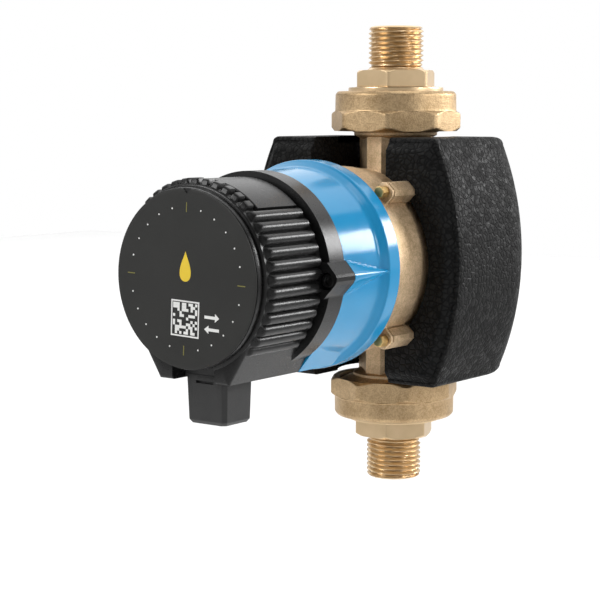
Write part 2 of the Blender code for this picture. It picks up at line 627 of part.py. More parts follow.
def vane_outline():
    """One backward-swept vane, seen along the motor axis."""
    inner, outer, thick = PIPE_BORE_R + 0.5, IMPELLER_R - 0.3, 1.4
    spine = []
    for i in range(4):
        share = i / 3
        spine.append((inner + (outer - inner) * share, radians(-50 * share ** 0.8)))
    front = [(r * cos(a), r * sin(a)) for r, a in spine]
    behind = [(r * cos(a + thick / r), r * sin(a + thick / r)) for r, a in spine]
    return front + behind[::-1]


# ---------------------------------------------------------------- stator and blue housing
def stator():
    """Toothed core ring round the dome, with one coil on each tooth."""
    low = MOTOR_REAR + 4.0
    high = low + STATOR_LENGTH
    middle = (low + high) / 2
    outer = MOTOR_BODY_FRONT_R - MOTOR_WALL - 0.6
    ring_inner = outer - 2.4
    tooth_inner = SHELL_R + 0.8
    core = tube("stator_core", outer, ring_inner, low, high, MOTOR_FRAME, CORE, steps=48)
    tooth_height = STATOR_LENGTH - 2 * TOOTH_SETBACK
    teeth = []
    for number in range(STATOR_TEETH):
        frame = turned_frame(MOTOR_FRAME, 360 * number / STATOR_TEETH)
        length = ring_inner + 1.0 - tooth_inner
        teeth.append(block(f"tooth_{number}", (length, TOOTH_WIDTH, tooth_height),
                           (tooth_inner + length / 2, 0, middle), frame))
        slot = (TOOTH_WIDTH + 2 * GAP, tooth_height + 2 * GAP)
        depth = ring_inner - tooth_inner - 1.6
        centre = (tooth_inner + 0.2 + depth / 2, 0, middle)
        coil = block(f"stator_coil_{number + 1}",
                     (depth, slot[0] + 2 * COIL_BUILD, slot[1] + 2 * COIL_BUILD),
                     centre, frame, COPPER, chamfer=0.6)
        cut(coil, block(f"coil_eye_{number}", (depth + 2, *slot), centre, frame))
    join(core, *teeth)


def wedge_outline():
    """Side boss for a control screw: flat on top, a point outwards, sloping below."""
    inside = CONTROL_ROOT_R - 4.0
    return [(inside, LUG_BOTTOM + 0.2), (LUG_TIP - 5.4, LUG_BOTTOM), (LUG_TIP - 0.2, -1.8),
            (LUG_TIP, 0.6), (LUG_TIP - 4.0, LUG_TOP), (inside, LUG_TOP)]


def mirrored(outline, side):
    return [(side * x, y) for x, y in outline]


def box_outline(radius):
    """Terminal-box outline: flat underside and flanks that meet the round body."""
    reach = hypot(BOX_HALF_WIDTH, BOX_DEPTH)
    touch = atan2(-BOX_DEPTH, BOX_HALF_WIDTH) + acos(min(1.0, radius / reach))
    x, y = radius * cos(touch), radius * sin(touch)
    return [(-x, y), (-BOX_HALF_WIDTH, -BOX_DEPTH), (BOX_HALF_WIDTH, -BOX_DEPTH), (x, y),
            (0.6 * x, -4.0), (-0.6 * x, -4.0)]


def motor_housing():
    """Blue cup over the stator, with a rim, two side wedges and a flat underside."""
    step = MOTOR_REAR + MOTOR_RIM_LENGTH
    shell = turned("motor_housing", [
        (0, MOTOR_FRONT), (MOTOR_BODY_FRONT_R, MOTOR_FRONT), (MOTOR_BODY_REAR_R, step + 3.2),
        (MOTOR_BODY_REAR_R + 0.7, step + 1.2), (MOTOR_RIM_R - 0.5, step + 0.5),
        (MOTOR_RIM_R, step), (MOTOR_RIM_R, MOTOR_REAR), (0, MOTOR_REAR)],
        MOTOR_FRAME, BLUE, steps=48)
    tip = (MOTOR_RIM_R - 0.4, 0.4, step + 0.6)
    for side in (1, -1):
        points = [(x, y, MOTOR_FRONT) for x, y in mirrored(wedge_outline(), side)]
        root = [(side * 28.0, y, step) for y in (-4.0, 4.0)]
        join(shell, hull(f"motor_wedge_{side}", points + root + [(side * tip[0], *tip[1:])],
                         MOTOR_FRAME))
    join(shell, prism("motor_flat", box_outline(MOTOR_BODY_FRONT_R - 0.4), step + 1.5,
                      MOTOR_FRONT, MOTOR_FRAME))
    wall = MOTOR_WALL
    cut(shell, turned("motor_hollow", [
        (0, MOTOR_FRONT - wall), (MOTOR_BODY_FRONT_R - wall, MOTOR_FRONT - wall),
        (MOTOR_BODY_REAR_R - wall, step), (SHELL_FLANGE_R + 0.5, step - 1.5),
        (SHELL_FLANGE_R + 0.5, MOTOR_REAR - OVERSHOOT), (0, MOTOR_REAR - OVERSHOOT)],
        MOTOR_FRAME, steps=48))
    cut(shell, rod("wire_hole", WIRE_HOLE_R, MOTOR_FRONT - wall - 2, MOTOR_FRONT + OVERSHOOT,
                   MOTOR_FRAME, steps=24))
    for side in (1, -1):
        frame = shifted(MOTOR_FRAME, side * CONTROL_SCREW_X, CONTROL_SCREW_DROP)
        cut(shell, rod(f"screw_hole_{side}", CONTROL_SCREW_R + GAP, MOTOR_FRONT - 7.5,
                       MOTOR_FRONT + OVERSHOOT, frame, steps=16))


# ---------------------------------------------------------------- controls
def rib_outline(numbers):
    """Ribs at the given places down both sides, on a floor just below the housing's own."""
    places = sorted({90 + side * RIB_PITCH * n for n in numbers for side in (1, -1)})
    half = degrees(RIB_R / CONTROL_ROOT_R)
    points = []
    for crest in places:
        points.append((CONTROL_ROOT_R - 0.5, crest - half))
        for share in (-0.87, -0.5, 0.0, 0.5, 0.87):
            rise = RIB_R * sqrt(1 - share ** 2)
            points.append((CONTROL_ROOT_R + rise, crest + half * share))
        points.append((CONTROL_ROOT_R - 0.5, crest + half))
    return [(r * cos(radians(a)), r * sin(radians(a))) for r, a in points]


def sector_outline(radius, reach):
    """A band over the top, from just inside the housing's floor out to a radius."""
    inner = arc(CONTROL_ROOT_R - 1.0, 90 + reach, 90 - reach, 12)
    return arc(radius, 90 - reach, 90 + reach, 17) + inner


def control_housing():
    """Ribbed black housing with a rear rim, side screw lugs and the terminal box below."""
    rim_front = CONTROL_REAR + CONTROL_RIM_LENGTH
    rib_rear = rim_front + RIB_GROOVE
    front = CONTROL_FRONT
    rib_front = front - RIB_SETBACK
    body = rod("control_housing", CONTROL_ROOT_R, CONTROL_REAR + 0.35, front - 1.4, MOTOR_FRAME,
               BLACK, steps=45)
    top_reach = RIB_PITCH * (FULL_RIBS.start - 0.5)
    stub_rear = rib_front - STUB_LENGTH
    label_band = prism("label_band", sector_outline(CONTROL_SMOOTH_R, top_reach), rib_rear,
                       stub_rear - 1.2, MOTOR_FRAME)
    stub_outline = rib_outline(range(FULL_RIBS.start))
    stub_outline += arc(CONTROL_ROOT_R - 1.2, 90 + top_reach, 90 - top_reach, 12)
    join(body, prism("full_ribs", rib_outline(FULL_RIBS), rib_rear, rib_front, MOTOR_FRAME),
         label_band, prism("rib_stubs", stub_outline, stub_rear, rib_front + 0.2, MOTOR_FRAME))
    rim = turned("control_rim", [
        (0, rim_front), (CONTROL_RIM_R - 0.5, rim_front), (CONTROL_RIM_R, rim_front - 0.5),
        (CONTROL_RIM_R, CONTROL_REAR), (0, CONTROL_REAR)], MOTOR_FRAME, steps=48)
    nose = turned("control_nose", [
        (0, front), (DIAL_R - 0.4, front), (DIAL_R + 0.6, front - 0.8),
        (DIAL_R + 0.6, front - 2.0), (0, front - 2.0)], MOTOR_FRAME, steps=48)
    lugs = [prism(f"screw_lug_{side}", mirrored(wedge_outline(), side),
                  CONTROL_REAR + 0.15, rim_front + 2.0, MOTOR_FRAME) for side in (1, -1)]
    box = prism("terminal_box", box_outline(CONTROL_ROOT_R - 0.3), CONTROL_REAR + 0.25,
                front - 1.6, MOTOR_FRAME)
    join(body, rim, nose, *lugs, box)

    for side in (1, -1):
        frame = shifted(MOTOR_FRAME, side * CONTROL_SCREW_X, CONTROL_SCREW_DROP)
        seat = screw_seat() - GAP
        cut(body, rod(f"lug_recess_{side}", CONTROL_SCREW_HEAD_R + 0.4, seat, rim_front + 4,
                      frame, steps=24),
            rod(f"lug_hole_{side}", CONTROL_SCREW_R + GAP, CONTROL_REAR - 1, seat + 1, frame, steps=16))
    inside = CONTROL_ROOT_R - CONTROL_WALL
    pocket = block("plug_pocket", (INSERT_WIDTH + 2 * GAP, 12.0, INSERT_DEPTH + 2 * GAP),
                   (0, -BOX_DEPTH + 3.0, PLUG_FORWARD), MOTOR_FRAME)
    notch_rear = PLUG_FORWARD + PLUG_DEPTH / 2 - TONGUE_DEPTH - 2 * GAP
    notch_front = front + OVERSHOOT
    notch_height = BOX_DEPTH + OVERSHOOT - NOTCH_TOP
    notch = block("plug_notch", (PLUG_WIDTH + 2 * GAP, notch_height, notch_front - notch_rear),
                  (0, -NOTCH_TOP - notch_height / 2, (notch_front + notch_rear) / 2), MOTOR_FRAME)
    cut(body, turned("control_hollow", [
        (0, front + OVERSHOOT), (HUB_R + 0.4, front + OVERSHOOT),
        (HUB_R + 0.4, front - CONTROL_WALL),
        (inside, front - CONTROL_WALL), (inside, CONTROL_REAR - OVERSHOOT),
        (0, CONTROL_REAR - OVERSHOOT)], MOTOR_FRAME), pocket, notch)


def screw_seat():
    return CONTROL_REAR + CONTROL_RIM_LENGTH - 1.2


def control_screws():
    for side, word in ((1, "right"), (-1, "left")):
        frame = shifted(MOTOR_FRAME, side * CONTROL_SCREW_X, CONTROL_SCREW_DROP)
        seat = screw_seat()
        top = seat + 2.4
        tip = MOTOR_FRONT - 7.0
        screw = turned(f"control_screw_{word}", [
            (0, top), (CONTROL_SCREW_HEAD_R - 0.4, top), (CONTROL_SCREW_HEAD_R, top - 0.5),
            (CONTROL_SCREW_HEAD_R, seat), (CONTROL_SCREW_R, seat), (CONTROL_SCREW_R, tip), (0, tip)],
            frame, STEEL, steps=20)
        cut(screw, rod(f"screw_socket_{word}", 1.3, top - 1.4, top + OVERSHOOT, frame, steps=6))


def dial():
    """Round front dial with its printed face; the hub takes the potentiometer's shaft."""
    hub_low = CONTROL_FRONT - CONTROL_WALL - 4.0
    knob = turned("front_dial", [
        (0, DIAL_FRONT), (DIAL_R - 0.3, DIAL_FRONT), (DIAL_R, DIAL_FRONT - 0.3),
        (DIAL_R, DIAL_REAR), (HUB_R, DIAL_REAR), (HUB_R, hub_low), (0, hub_low)],
        MOTOR_FRAME, DIAL_GREY, steps=48)
    cut(knob, rod("shaft_bore", SHAFT_R + GAP, hub_low - OVERSHOOT, DIAL_REAR, MOTOR_FRAME, steps=20))
    foil_low = DIAL_FRONT + GAP
    foil = rod("dial_face", DIAL_R - 0.3, foil_low, foil_low + FOIL_THICKNESS, MOTOR_FRAME,
               DIAL_GREY, steps=48)
    notch = prism("dial_notch", [(-1.6, DIAL_R + 1), (0, DIAL_R - 2.0), (1.6, DIAL_R + 1)],
                  foil_low - 1, foil_low + 2, MOTOR_FRAME)
    cut(foil, notch)


def electronics():
    """Circuit board with the dial's potentiometer, a capacitor, a choke and the mains pins."""
    board_low = CONTROL_REAR + 18.0
    board_top = board_low + 1.6
    inside = CONTROL_ROOT_R - CONTROL_WALL
    board = rod("circuit_board", inside - 4.0, board_low, board_top, MOTOR_FRAME, BOARD, steps=40)
    cut(board, rod("board_hole", 3.0, board_low - 1, board_top + 1, shifted(MOTOR_FRAME, 0, 12),
                   steps=16))
    pot_low = board_top + GAP
    pot_top = CONTROL_FRONT - CONTROL_WALL - 5.0
    pot = rod("potentiometer", 6.0, pot_low, pot_top, MOTOR_FRAME, BLACK, steps=24, chamfer=0.5)
    cut(pot, rod("pot_bore", SHAFT_R + GAP, pot_top - 4.0, pot_top + 1, MOTOR_FRAME, steps=20))
    rod("potentiometer_shaft", SHAFT_R, pot_top - 4.0 + GAP, DIAL_REAR - 2 * GAP, MOTOR_FRAME,
        STEEL, steps=20, chamfer=0.3)
    rod("board_capacitor", 4.5, board_low - GAP - 12.0, board_low - GAP,
        shifted(MOTOR_FRAME, 13.0, 8.0), FERRITE, steps=24, chamfer=0.6)
    tube("board_choke", 6.5, 3.0, board_low - GAP - 6.0, board_low - GAP,
         shifted(MOTOR_FRAME, -12.0, 6.0), COPPER, steps=24)

    header_low = sqrt(inside ** 2 - INSERT_SETBACK ** 2) - 0.5
    header_top = header_low - 6.0
    header_front = PLUG_FORWARD + 5.0
    header_back = board_top + 0.8
    header = block("mains_header", (15.0, header_low - header_top, header_front - header_back),
                   (0, -(header_low + header_top) / 2, (header_front + header_back) / 2),
                   MOTOR_FRAME, IVORY)
    for number in range(3):
        x = (number - 1) * MAINS_PIN_SPACING
        frame = PIPE_FRAME @ Matrix.Translation(Vector((x * MM, -PLUG_FORWARD * MM, 0)))
        cut(header, rod(f"header_hole_{number}", MAINS_PIN_R + GAP, -header_low - 1,
                        -header_top + 1, frame, steps=16))
        rod(f"mains_pin_{number + 1}", MAINS_PIN_R, -header_low - 4.2, -header_top - 0.5,
            frame, BRASS, steps=16, chamfer=0.2)


def plug():
    """Plug that pulls down out of the terminal box; its cable entry is a grommet below."""
    frame = PIPE_FRAME @ Matrix.Translation(Vector((0, -PLUG_FORWARD * MM, 0)))
    top = -BOX_DEPTH - GAP
    bottom = top - PLUG_LENGTH
    taper = 0.94

    def section(share, height):
        x, y = PLUG_WIDTH / 2 * share, PLUG_DEPTH / 2 * share
        c = PLUG_CORNER * share
        return [(x, -y + c, height), (x, y - c, height), (x - c, y, height), (-x + c, y, height),
                (-x, y - c, height), (-x, -y + c, height), (-x + c, -y, height),
                (x - c, -y, height)]

    body = loft("plug_body", [section(1.0, top), section(taper, bottom + 1.2),
                              section(taper - 0.1, bottom)], frame, BLACK)
    inside = CONTROL_ROOT_R - CONTROL_WALL
    insert_top = -sqrt(inside ** 2 - INSERT_SETBACK ** 2) - 0.2 + GAP
    insert = block("plug_insert", (INSERT_WIDTH, INSERT_DEPTH, insert_top - top + 2),
                   (0, 0, (insert_top + top - 2) / 2), frame)
    tongue_top = -NOTCH_TOP - GAP
    tongue = block("plug_tongue", (PLUG_WIDTH - 2 * GAP, TONGUE_DEPTH, tongue_top - top + 1.0),
                   (0, (TONGUE_DEPTH - PLUG_DEPTH) / 2 + 0.15, (tongue_top + top - 1.0) / 2), frame)
    join(body, insert, tongue)
    cut(body, block("latch_slot", (7.5, 2.4, 0.9), (0, -PLUG_DEPTH / 2, top - LATCH_DROP), frame),
        rod("grommet_hole", GROMMET_R, bottom - OVERSHOOT, bottom + 7.0, frame, steps=24))
    for number in range(3):
        x = (number - 1) * MAINS_PIN_SPACING
        cut(body, rod(f"contact_hole_{number}", MAINS_PIN_R + GAP, insert_top - 6.0,
                      insert_top + OVERSHOOT, shifted(frame, x), steps=16))
    tube("plug_grommet", GROMMET_R - GAP, GROMMET_BORE_R, bottom + 0.4, bottom + 6.7, frame, RUBBER, steps=24)


# ---------------------------------------------------------------- insulation
def foam_half(word, side):
    """One foam half shell, bowed on its outer side and rounded off behind."""
    top = FOAM_HALF_HEIGHT
    sag = FOAM_SIDE_R - sqrt(FOAM_SIDE_R ** 2 - top ** 2)

    def section(forward, share, rise):
        height = top - rise
        edge = FOAM_EDGE
        row = [(GAP / 2, -height), ((FOAM_HALF_WIDTH - sag) * share - edge, -height)]
        for i in range(9):
            z = (height - edge) * (i - 4) / 4
            x = FOAM_HALF_WIDTH - FOAM_SIDE_R + sqrt(FOAM_SIDE_R ** 2 - z ** 2)
            row.append((x * share, z))
        row += [((FOAM_HALF_WIDTH - sag) * share - edge, height), (GAP / 2, height)]
        return [(side * x, z, forward) for x, z in row]

    sections = [section(FOAM_FRONT, 1 - 1.2 / FOAM_HALF_WIDTH, 1.2),
                section(FOAM_FRONT - 1.6, 1, 0)]
    for i in range(7):
        lean = radians(90 * i / 6)
        back = -(FOAM_BACK - FOAM_REAR_ROUND) - FOAM_REAR_ROUND * sin(lean)
        drop = 1 - cos(lean)
        share = 1 - 0.42 * drop
        sections.append(section(back, share, 5.0 * drop))
    half = loft(f"insulation_{word}", sections, MOTOR_FRAME, FOAM)
    clear = 2 * CHANNEL_HALF_WIDTH
    channel = block(f"channel_{word}", (clear, FOAM_FRONT + 2, 2 * top + 4),
                    (0, -(FOAM_FRONT + 2) / 2, 0), PIPE_FRAME)
    neck_room = rod(f"neck_room_{word}", CHANNEL_HALF_WIDTH, -top - 2, top + 2, PIPE_FRAME,
                    steps=32)
    drum_room = rod(f"drum_room_{word}", DRUM_R + 0.8, DRUM_BACK - 3.0, FOAM_FRONT + 2,
                    MOTOR_FRAME, steps=48)
    collar = HALF - UNION_THREAD_LENGTH - FLARE_LENGTH - 4.0
    collar_room = [tube(f"collar_room_{word}_{end}", UNION_THREAD_R + 1.0, 2.0,
                        min(end * collar, end * (top + 2)), max(end * collar, end * (top + 2)),
                        PIPE_FRAME) for end in (1, -1)]
    cut(half, channel, neck_room, drum_room, *collar_room)


pump_housing()
motor_ring()
flange_bolts()
union("inlet", -1, INLET_NUT_TURN)
union("outlet", 1, OUTLET_NUT_TURN)
check_valve()
separating_shell()
bearing()
rotor()
stator()
motor_housing()
control_housing()
control_screws()
dial()
electronics()
plug()
foam_half("right", 1)
foam_half("left", -1)
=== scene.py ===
# %% [markdown]
# # A hot-water circulator pump
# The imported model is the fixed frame: it gives every size and place. This lesson dresses it. Pieces whose
# plain solid is too simple are made again as surfaces worked out with numpy, and the rest keep their
# solid and get a finish.

# %% Load the frame
import json
from math import pi, radians

import bmesh
import bpy
import numpy as np
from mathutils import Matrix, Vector

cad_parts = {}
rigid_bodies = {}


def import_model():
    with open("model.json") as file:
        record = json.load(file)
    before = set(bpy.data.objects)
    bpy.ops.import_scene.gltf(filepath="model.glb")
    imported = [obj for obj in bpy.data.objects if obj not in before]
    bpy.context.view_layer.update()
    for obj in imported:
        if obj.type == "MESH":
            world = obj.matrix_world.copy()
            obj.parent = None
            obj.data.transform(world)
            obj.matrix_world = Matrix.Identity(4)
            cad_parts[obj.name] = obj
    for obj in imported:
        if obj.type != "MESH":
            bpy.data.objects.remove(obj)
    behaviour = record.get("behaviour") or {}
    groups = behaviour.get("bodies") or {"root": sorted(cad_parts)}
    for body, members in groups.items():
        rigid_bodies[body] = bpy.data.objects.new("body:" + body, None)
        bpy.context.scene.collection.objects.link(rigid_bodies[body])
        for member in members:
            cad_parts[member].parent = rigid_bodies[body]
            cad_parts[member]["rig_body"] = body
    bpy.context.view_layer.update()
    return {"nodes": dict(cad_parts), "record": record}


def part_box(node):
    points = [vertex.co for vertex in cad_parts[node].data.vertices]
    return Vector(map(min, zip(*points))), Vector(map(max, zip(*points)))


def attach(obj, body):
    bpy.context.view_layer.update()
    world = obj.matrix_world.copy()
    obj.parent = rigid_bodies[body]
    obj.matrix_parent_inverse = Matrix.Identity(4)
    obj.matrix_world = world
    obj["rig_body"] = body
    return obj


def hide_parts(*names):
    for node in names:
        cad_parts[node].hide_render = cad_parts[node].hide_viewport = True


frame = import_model()
MM = 0.001
PER_METRE = 1.0 / MM

# %% [markdown]
# The pipe runs up Z and the motor looks along -Y. Two kinds of place are used all through: up the pipe,
# measured from the motor's axis, and forward along that axis, measured from the pipe. Both come from
# the frame's own boxes, so a change of size in the solids carries over.

# %% Places taken from the frame
def reach(node, axis, high=True):
    """Lowest or highest place of a node along one axis, in millimetres."""
    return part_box(node)[1 if high else 0][axis] / MM


AXIS_UP = (reach("front_dial", 2) + reach("front_dial", 2, False)) / 2
DIAL_R = reach("front_dial", 0)
DIAL_FRONT = -reach("dial_face", 1, False)
DIAL_SEAT = -reach("dial_face", 1)
CONTROL_FRONT = -reach("control_housing", 1, False)
CONTROL_REAR = -reach("control_housing", 1)
MOTOR_FRONT = -reach("motor_housing", 1, False)
MOTOR_REAR = -reach("motor_housing", 1)
RIM_R = (reach("motor_housing", 2) - reach("motor_housing", 2, False)) / 2
BOX_FLOOR = AXIS_UP - reach("control_housing", 2, False)
NUT_INNER = reach("outlet_union_nut", 2, False) - AXIS_UP
NUT_OUTER = reach("outlet_union_nut", 2) - AXIS_UP
FLANGE_INNER = reach("outlet_nipple", 2, False) - AXIS_UP
PIPE_END = reach("outlet_nipple", 2) - AXIS_UP
FOAM_WIDE = reach("insulation_right", 0)
FOAM_TALL = reach("insulation_right", 2) - AXIS_UP
FOAM_FRONT = -reach("insulation_right", 1, False)
FOAM_BACK = reach("insulation_right", 1)
print("motor axis", round(AXIS_UP, 2), "mm up; dial radius", round(DIAL_R, 2), "mm")

# %% [markdown]
# ## The mesh builder
# Every new piece is one grid of points with two parameters. The first runs round the piece and closes on
# itself. The second runs along a profile, which either closes as well, as on a hollow part, or ends in
# two poles. Points that meet at a pole are merged afterwards.

# %% Grid to mesh
def placed(name, data):
    """A new object in the scene."""
    thing = bpy.data.objects.new(name, data)
    bpy.context.scene.collection.objects.link(thing)
    return thing


def surface(name, points, closed=True, sharp=32.0):
    """Mesh of a grid P[i, j]: i goes round and wraps; j wraps too where closed is true."""
    around, along = points.shape[:2]
    i = np.arange(around)[:, None]
    j = np.arange(along if closed else along - 1)[None, :]
    near, far = i, (i + 1) % around
    here, after = j, (j + 1) % along
    corners = [near * along + here, far * along + here, far * along + after, near * along + after]
    quads = np.stack([c + 0 * (i + j) for c in corners], axis=-1).reshape(-1, 4)
    mesh = bpy.data.meshes.new(name)
    mesh.from_pydata((points.reshape(-1, 3) * MM).tolist(), [], quads.tolist())
    work = bmesh.new()
    work.from_mesh(mesh)
    bmesh.ops.remove_doubles(work, verts=work.verts, dist=1e-7)
    bmesh.ops.dissolve_degenerate(work, edges=work.edges, dist=1e-8)
    bmesh.ops.recalc_face_normals(work, faces=work.faces)
    work.to_mesh(mesh)
    work.free()
    mesh.shade_smooth()
    mesh.set_sharp_from_angle(angle=radians(sharp))
    return placed(name, mesh)


def full_turn(steps):
    """Even angles round a circle, as a column."""
    return np.linspace(0, 2 * pi, steps, endpoint=False)[:, None]


def along_pipe(radius, angle, height):
    """Points at a radius and angle (from +X towards +Y) round the pipe, at a height."""
    return np.stack([radius * np.cos(angle), radius * np.sin(angle),
                     AXIS_UP + height + 0 * radius], axis=-1)


def along_motor(radius, angle, forward):
    """Points at a radius and angle (from +X up towards +Z) round the motor axis."""
    return np.stack([radius * np.cos(angle), -forward + 0 * radius,
                     AXIS_UP + radius * np.sin(angle)], axis=-1)


# %% [markdown]
# A turned outline is a short list of corners. Real corners are never knife sharp, so each one is replaced
# by a small curve that starts and ends the same distance before and after it.

# %% Rounded outlines
def rounded(corners, radius, steps=3, closed=True):
    """Outline with every corner blended by a quadratic curve, up to a third of its shorter side."""
    corners = np.asarray(corners, float)
    before = np.roll(corners, 1, axis=0) - corners
    after = np.roll(corners, -1, axis=0) - corners
    near = np.linalg.norm(before, axis=1)
    far = np.linalg.norm(after, axis=1)
    cut = np.minimum(radius, 0.33 * np.minimum(near, far))
    if not closed:
        cut[[0, -1]] = 0.0
    start = corners + before * (cut / np.maximum(near, 1e-9))[:, None]
    end = corners + after * (cut / np.maximum(far, 1e-9))[:, None]
    t = np.linspace(0, 1, steps)[None, :, None]
    curve = (1 - t) ** 2 * start[:, None] + 2 * t * (1 - t) * corners[:, None] + t ** 2 * end[:, None]
    flat = curve.reshape(-1, 2)
    step = np.linalg.norm(np.diff(flat, axis=0, prepend=flat[:1] - 1), axis=1)
    return flat[step > 1e-6]


def subdivided(outline, longest):
    """The same outline with extra points, so no straight run is longer than given."""
    rows = [outline[:1]]
    for a, b in zip(outline[:-1], outline[1:]):
        count = max(1, int(np.ceil(np.linalg.norm(b - a) / longest)))
        share = np.arange(1, count + 1)[:, None] / count
        rows.append(a + (b - a) * share)
    return np.concatenate(rows)


def turn(name, corners, place, steps=96, radius=0.3, closed=True):
    """A turned piece from (radius, distance) corners carried round the pipe or motor axis."""
    outline = rounded(corners, radius, closed=closed)
    angle = full_turn(steps)
    return surface(name, place(outline[None, :, 0] + 0 * angle, angle, outline[None, :, 1]), closed)


# %% [markdown]
# A piece that is made again stands for its solid and rides on the same body. Where the solid's own shape
# is right and only its edges are too crisp, a copy of it is welded, smoothed and given a fine bevel.

# %% Dressing pieces
BODY_OF = {name: node["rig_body"] for name, node in frame["nodes"].items()}


def dress(piece, node, finish, extra=()):
    """Give a piece its finish and its body, and hide the solid it stands for."""
    piece.data.materials.clear()
    piece.data.materials.append(finish)
    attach(piece, BODY_OF[node])
    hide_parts(node, *extra)
    return piece


def trim(piece, body, finish):
    """A small added piece, which replaces nothing."""
    piece.data.materials.clear()
    piece.data.materials.append(finish)
    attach(piece, body)
    return piece


def softened(node, bevel, sharp=35.0, segments=2):
    """Welded copy of a solid with its crisp edges bevelled by so many millimetres."""
    mesh = frame["nodes"][node].data.copy()
    work = bmesh.new()
    work.from_mesh(mesh)
    bmesh.ops.remove_doubles(work, verts=work.verts, dist=2e-6)
    bmesh.ops.dissolve_limit(work, angle_limit=radians(0.6), verts=work.verts, edges=work.edges)
    work.to_mesh(mesh)
    work.free()
    mesh.shade_smooth()
    mesh.set_sharp_from_angle(angle=radians(sharp))
    piece = placed(node + "_finished", mesh)
    step = piece.modifiers.new("soft_edges", "BEVEL")
    step.width = bevel * MM
    step.segments = segments
    step.limit_method = "ANGLE"
    step.angle_limit = radians(sharp)
    step.harden_normals = True
    return piece


def carve(piece, *cutters):
    """Cut shapes away from a piece, apply the cut, and drop the cutters."""
    for cutter in cutters:
        step = piece.modifiers.new("carve", "BOOLEAN")
        step.object = cutter
        step.operation = "DIFFERENCE"
        step.solver = "EXACT"
    graph = bpy.context.evaluated_depsgraph_get()
    made = bpy.data.meshes.new_from_object(piece.evaluated_get(graph))
    piece.modifiers.clear()
    piece.data = made
    for cutter in cutters:
        bpy.data.objects.remove(cutter)
    made.shade_smooth()
    made.set_sharp_from_angle(angle=radians(32))
    return piece


# %% [markdown]
# ## Shader groups
# Cast metal, moulded plastic and bead foam share a few effects: a fine grain that tilts the surface, and
# slow clouds that change colour a little. Each is one node group, placed in the materials with
# its own sizes.

# %% Node helpers
def wire(tree, kind, inputs=None, **settings):
    """Add a node, set its properties, and link or set its inputs by name or number."""
    node = tree.nodes.new(kind)
    for key, value in settings.items():
        setattr(node, key, value)
    for key, value in (inputs or {}).items():
        socket = node.inputs[key]
        if isinstance(value, bpy.types.NodeSocket):
            tree.links.new(value, socket)
        else:
            socket.default_value = value
    return node


def new_group(name, inputs, outputs):
    """Empty shader group with float inputs (name: default) and named outputs."""
    tree = bpy.data.node_groups.new(name, "ShaderNodeTree")
    for key, default in inputs.items():
        socket = tree.interface.new_socket(key, in_out="INPUT", socket_type="NodeSocketFloat")
        socket.default_value = default
    for key, kind in outputs.items():
        tree.interface.new_socket(key, in_out="OUTPUT", socket_type=kind)
    return tree, tree.nodes.new("NodeGroupInput"), tree.nodes.new("NodeGroupOutput")


# %% Grain: small bumps at a chosen size
def grain_group():
    """Height from fine noise plus half as much at three times the size."""
    tree, given, result = new_group("Grain", {"Size mm": 0.4}, {"Height": "NodeSocketFloat"})
    place = wire(tree, "ShaderNodeTexCoord")
    scale = wire(tree, "ShaderNodeMath", {0: PER_METRE, 1: given.outputs["Size mm"]}, operation="DIVIDE")
    wide = wire(tree, "ShaderNodeMath", {0: scale.outputs[0], 1: 3.0}, operation="DIVIDE")
    fine = wire(tree, "ShaderNodeTexNoise", {"Vector": place.outputs["Object"],
                                             "Scale": scale.outputs[0], "Detail": 2.0})
    broad = wire(tree, "ShaderNodeTexNoise", {"Vector": place.outputs["Object"],
                                              "Scale": wide.outputs[0], "Detail": 1.0})
    half = wire(tree, "ShaderNodeMath", {0: broad.outputs["Fac"], 1: 0.5}, operation="MULTIPLY")
    total = wire(tree, "ShaderNodeMath", {0: fine.outputs["Fac"], 1: half.outputs[0]}, operation="ADD")
    tree.links.new(total.outputs[0], result.inputs["Height"])
    return tree


# %% Clouds: slow change from place to place
def cloud_group():
    """A mask from 0 to 1 that drifts over a chosen distance."""
    tree, given, result = new_group("Clouds", {"Size mm": 12.0}, {"Mask": "NodeSocketFloat"})
    place = wire(tree, "ShaderNodeTexCoord")
    scale = wire(tree, "ShaderNodeMath", {0: PER_METRE, 1: given.outputs["Size mm"]}, operation="DIVIDE")
    noise = wire(tree, "ShaderNodeTexNoise", {"Vector": place.outputs["Object"],
                                              "Scale": scale.outputs[0], "Detail": 3.0})
    spread = wire(tree, "ShaderNodeMapRange", {"Value": noise.outputs["Fac"], "From Min": 0.3,
                                               "From Max": 0.7})
    tree.links.new(spread.outputs["Result"], result.inputs["Mask"])
    return tree


GRAIN = grain_group()
CLOUDS = cloud_group()
print("groups:", GRAIN.name, CLOUDS.name)


# %% A material from a colour pair, a gloss pair and a grain
SPOT_LOW, SPOT_HIGH = 0.62, 0.88     # grain heights at which a speckle starts and is full


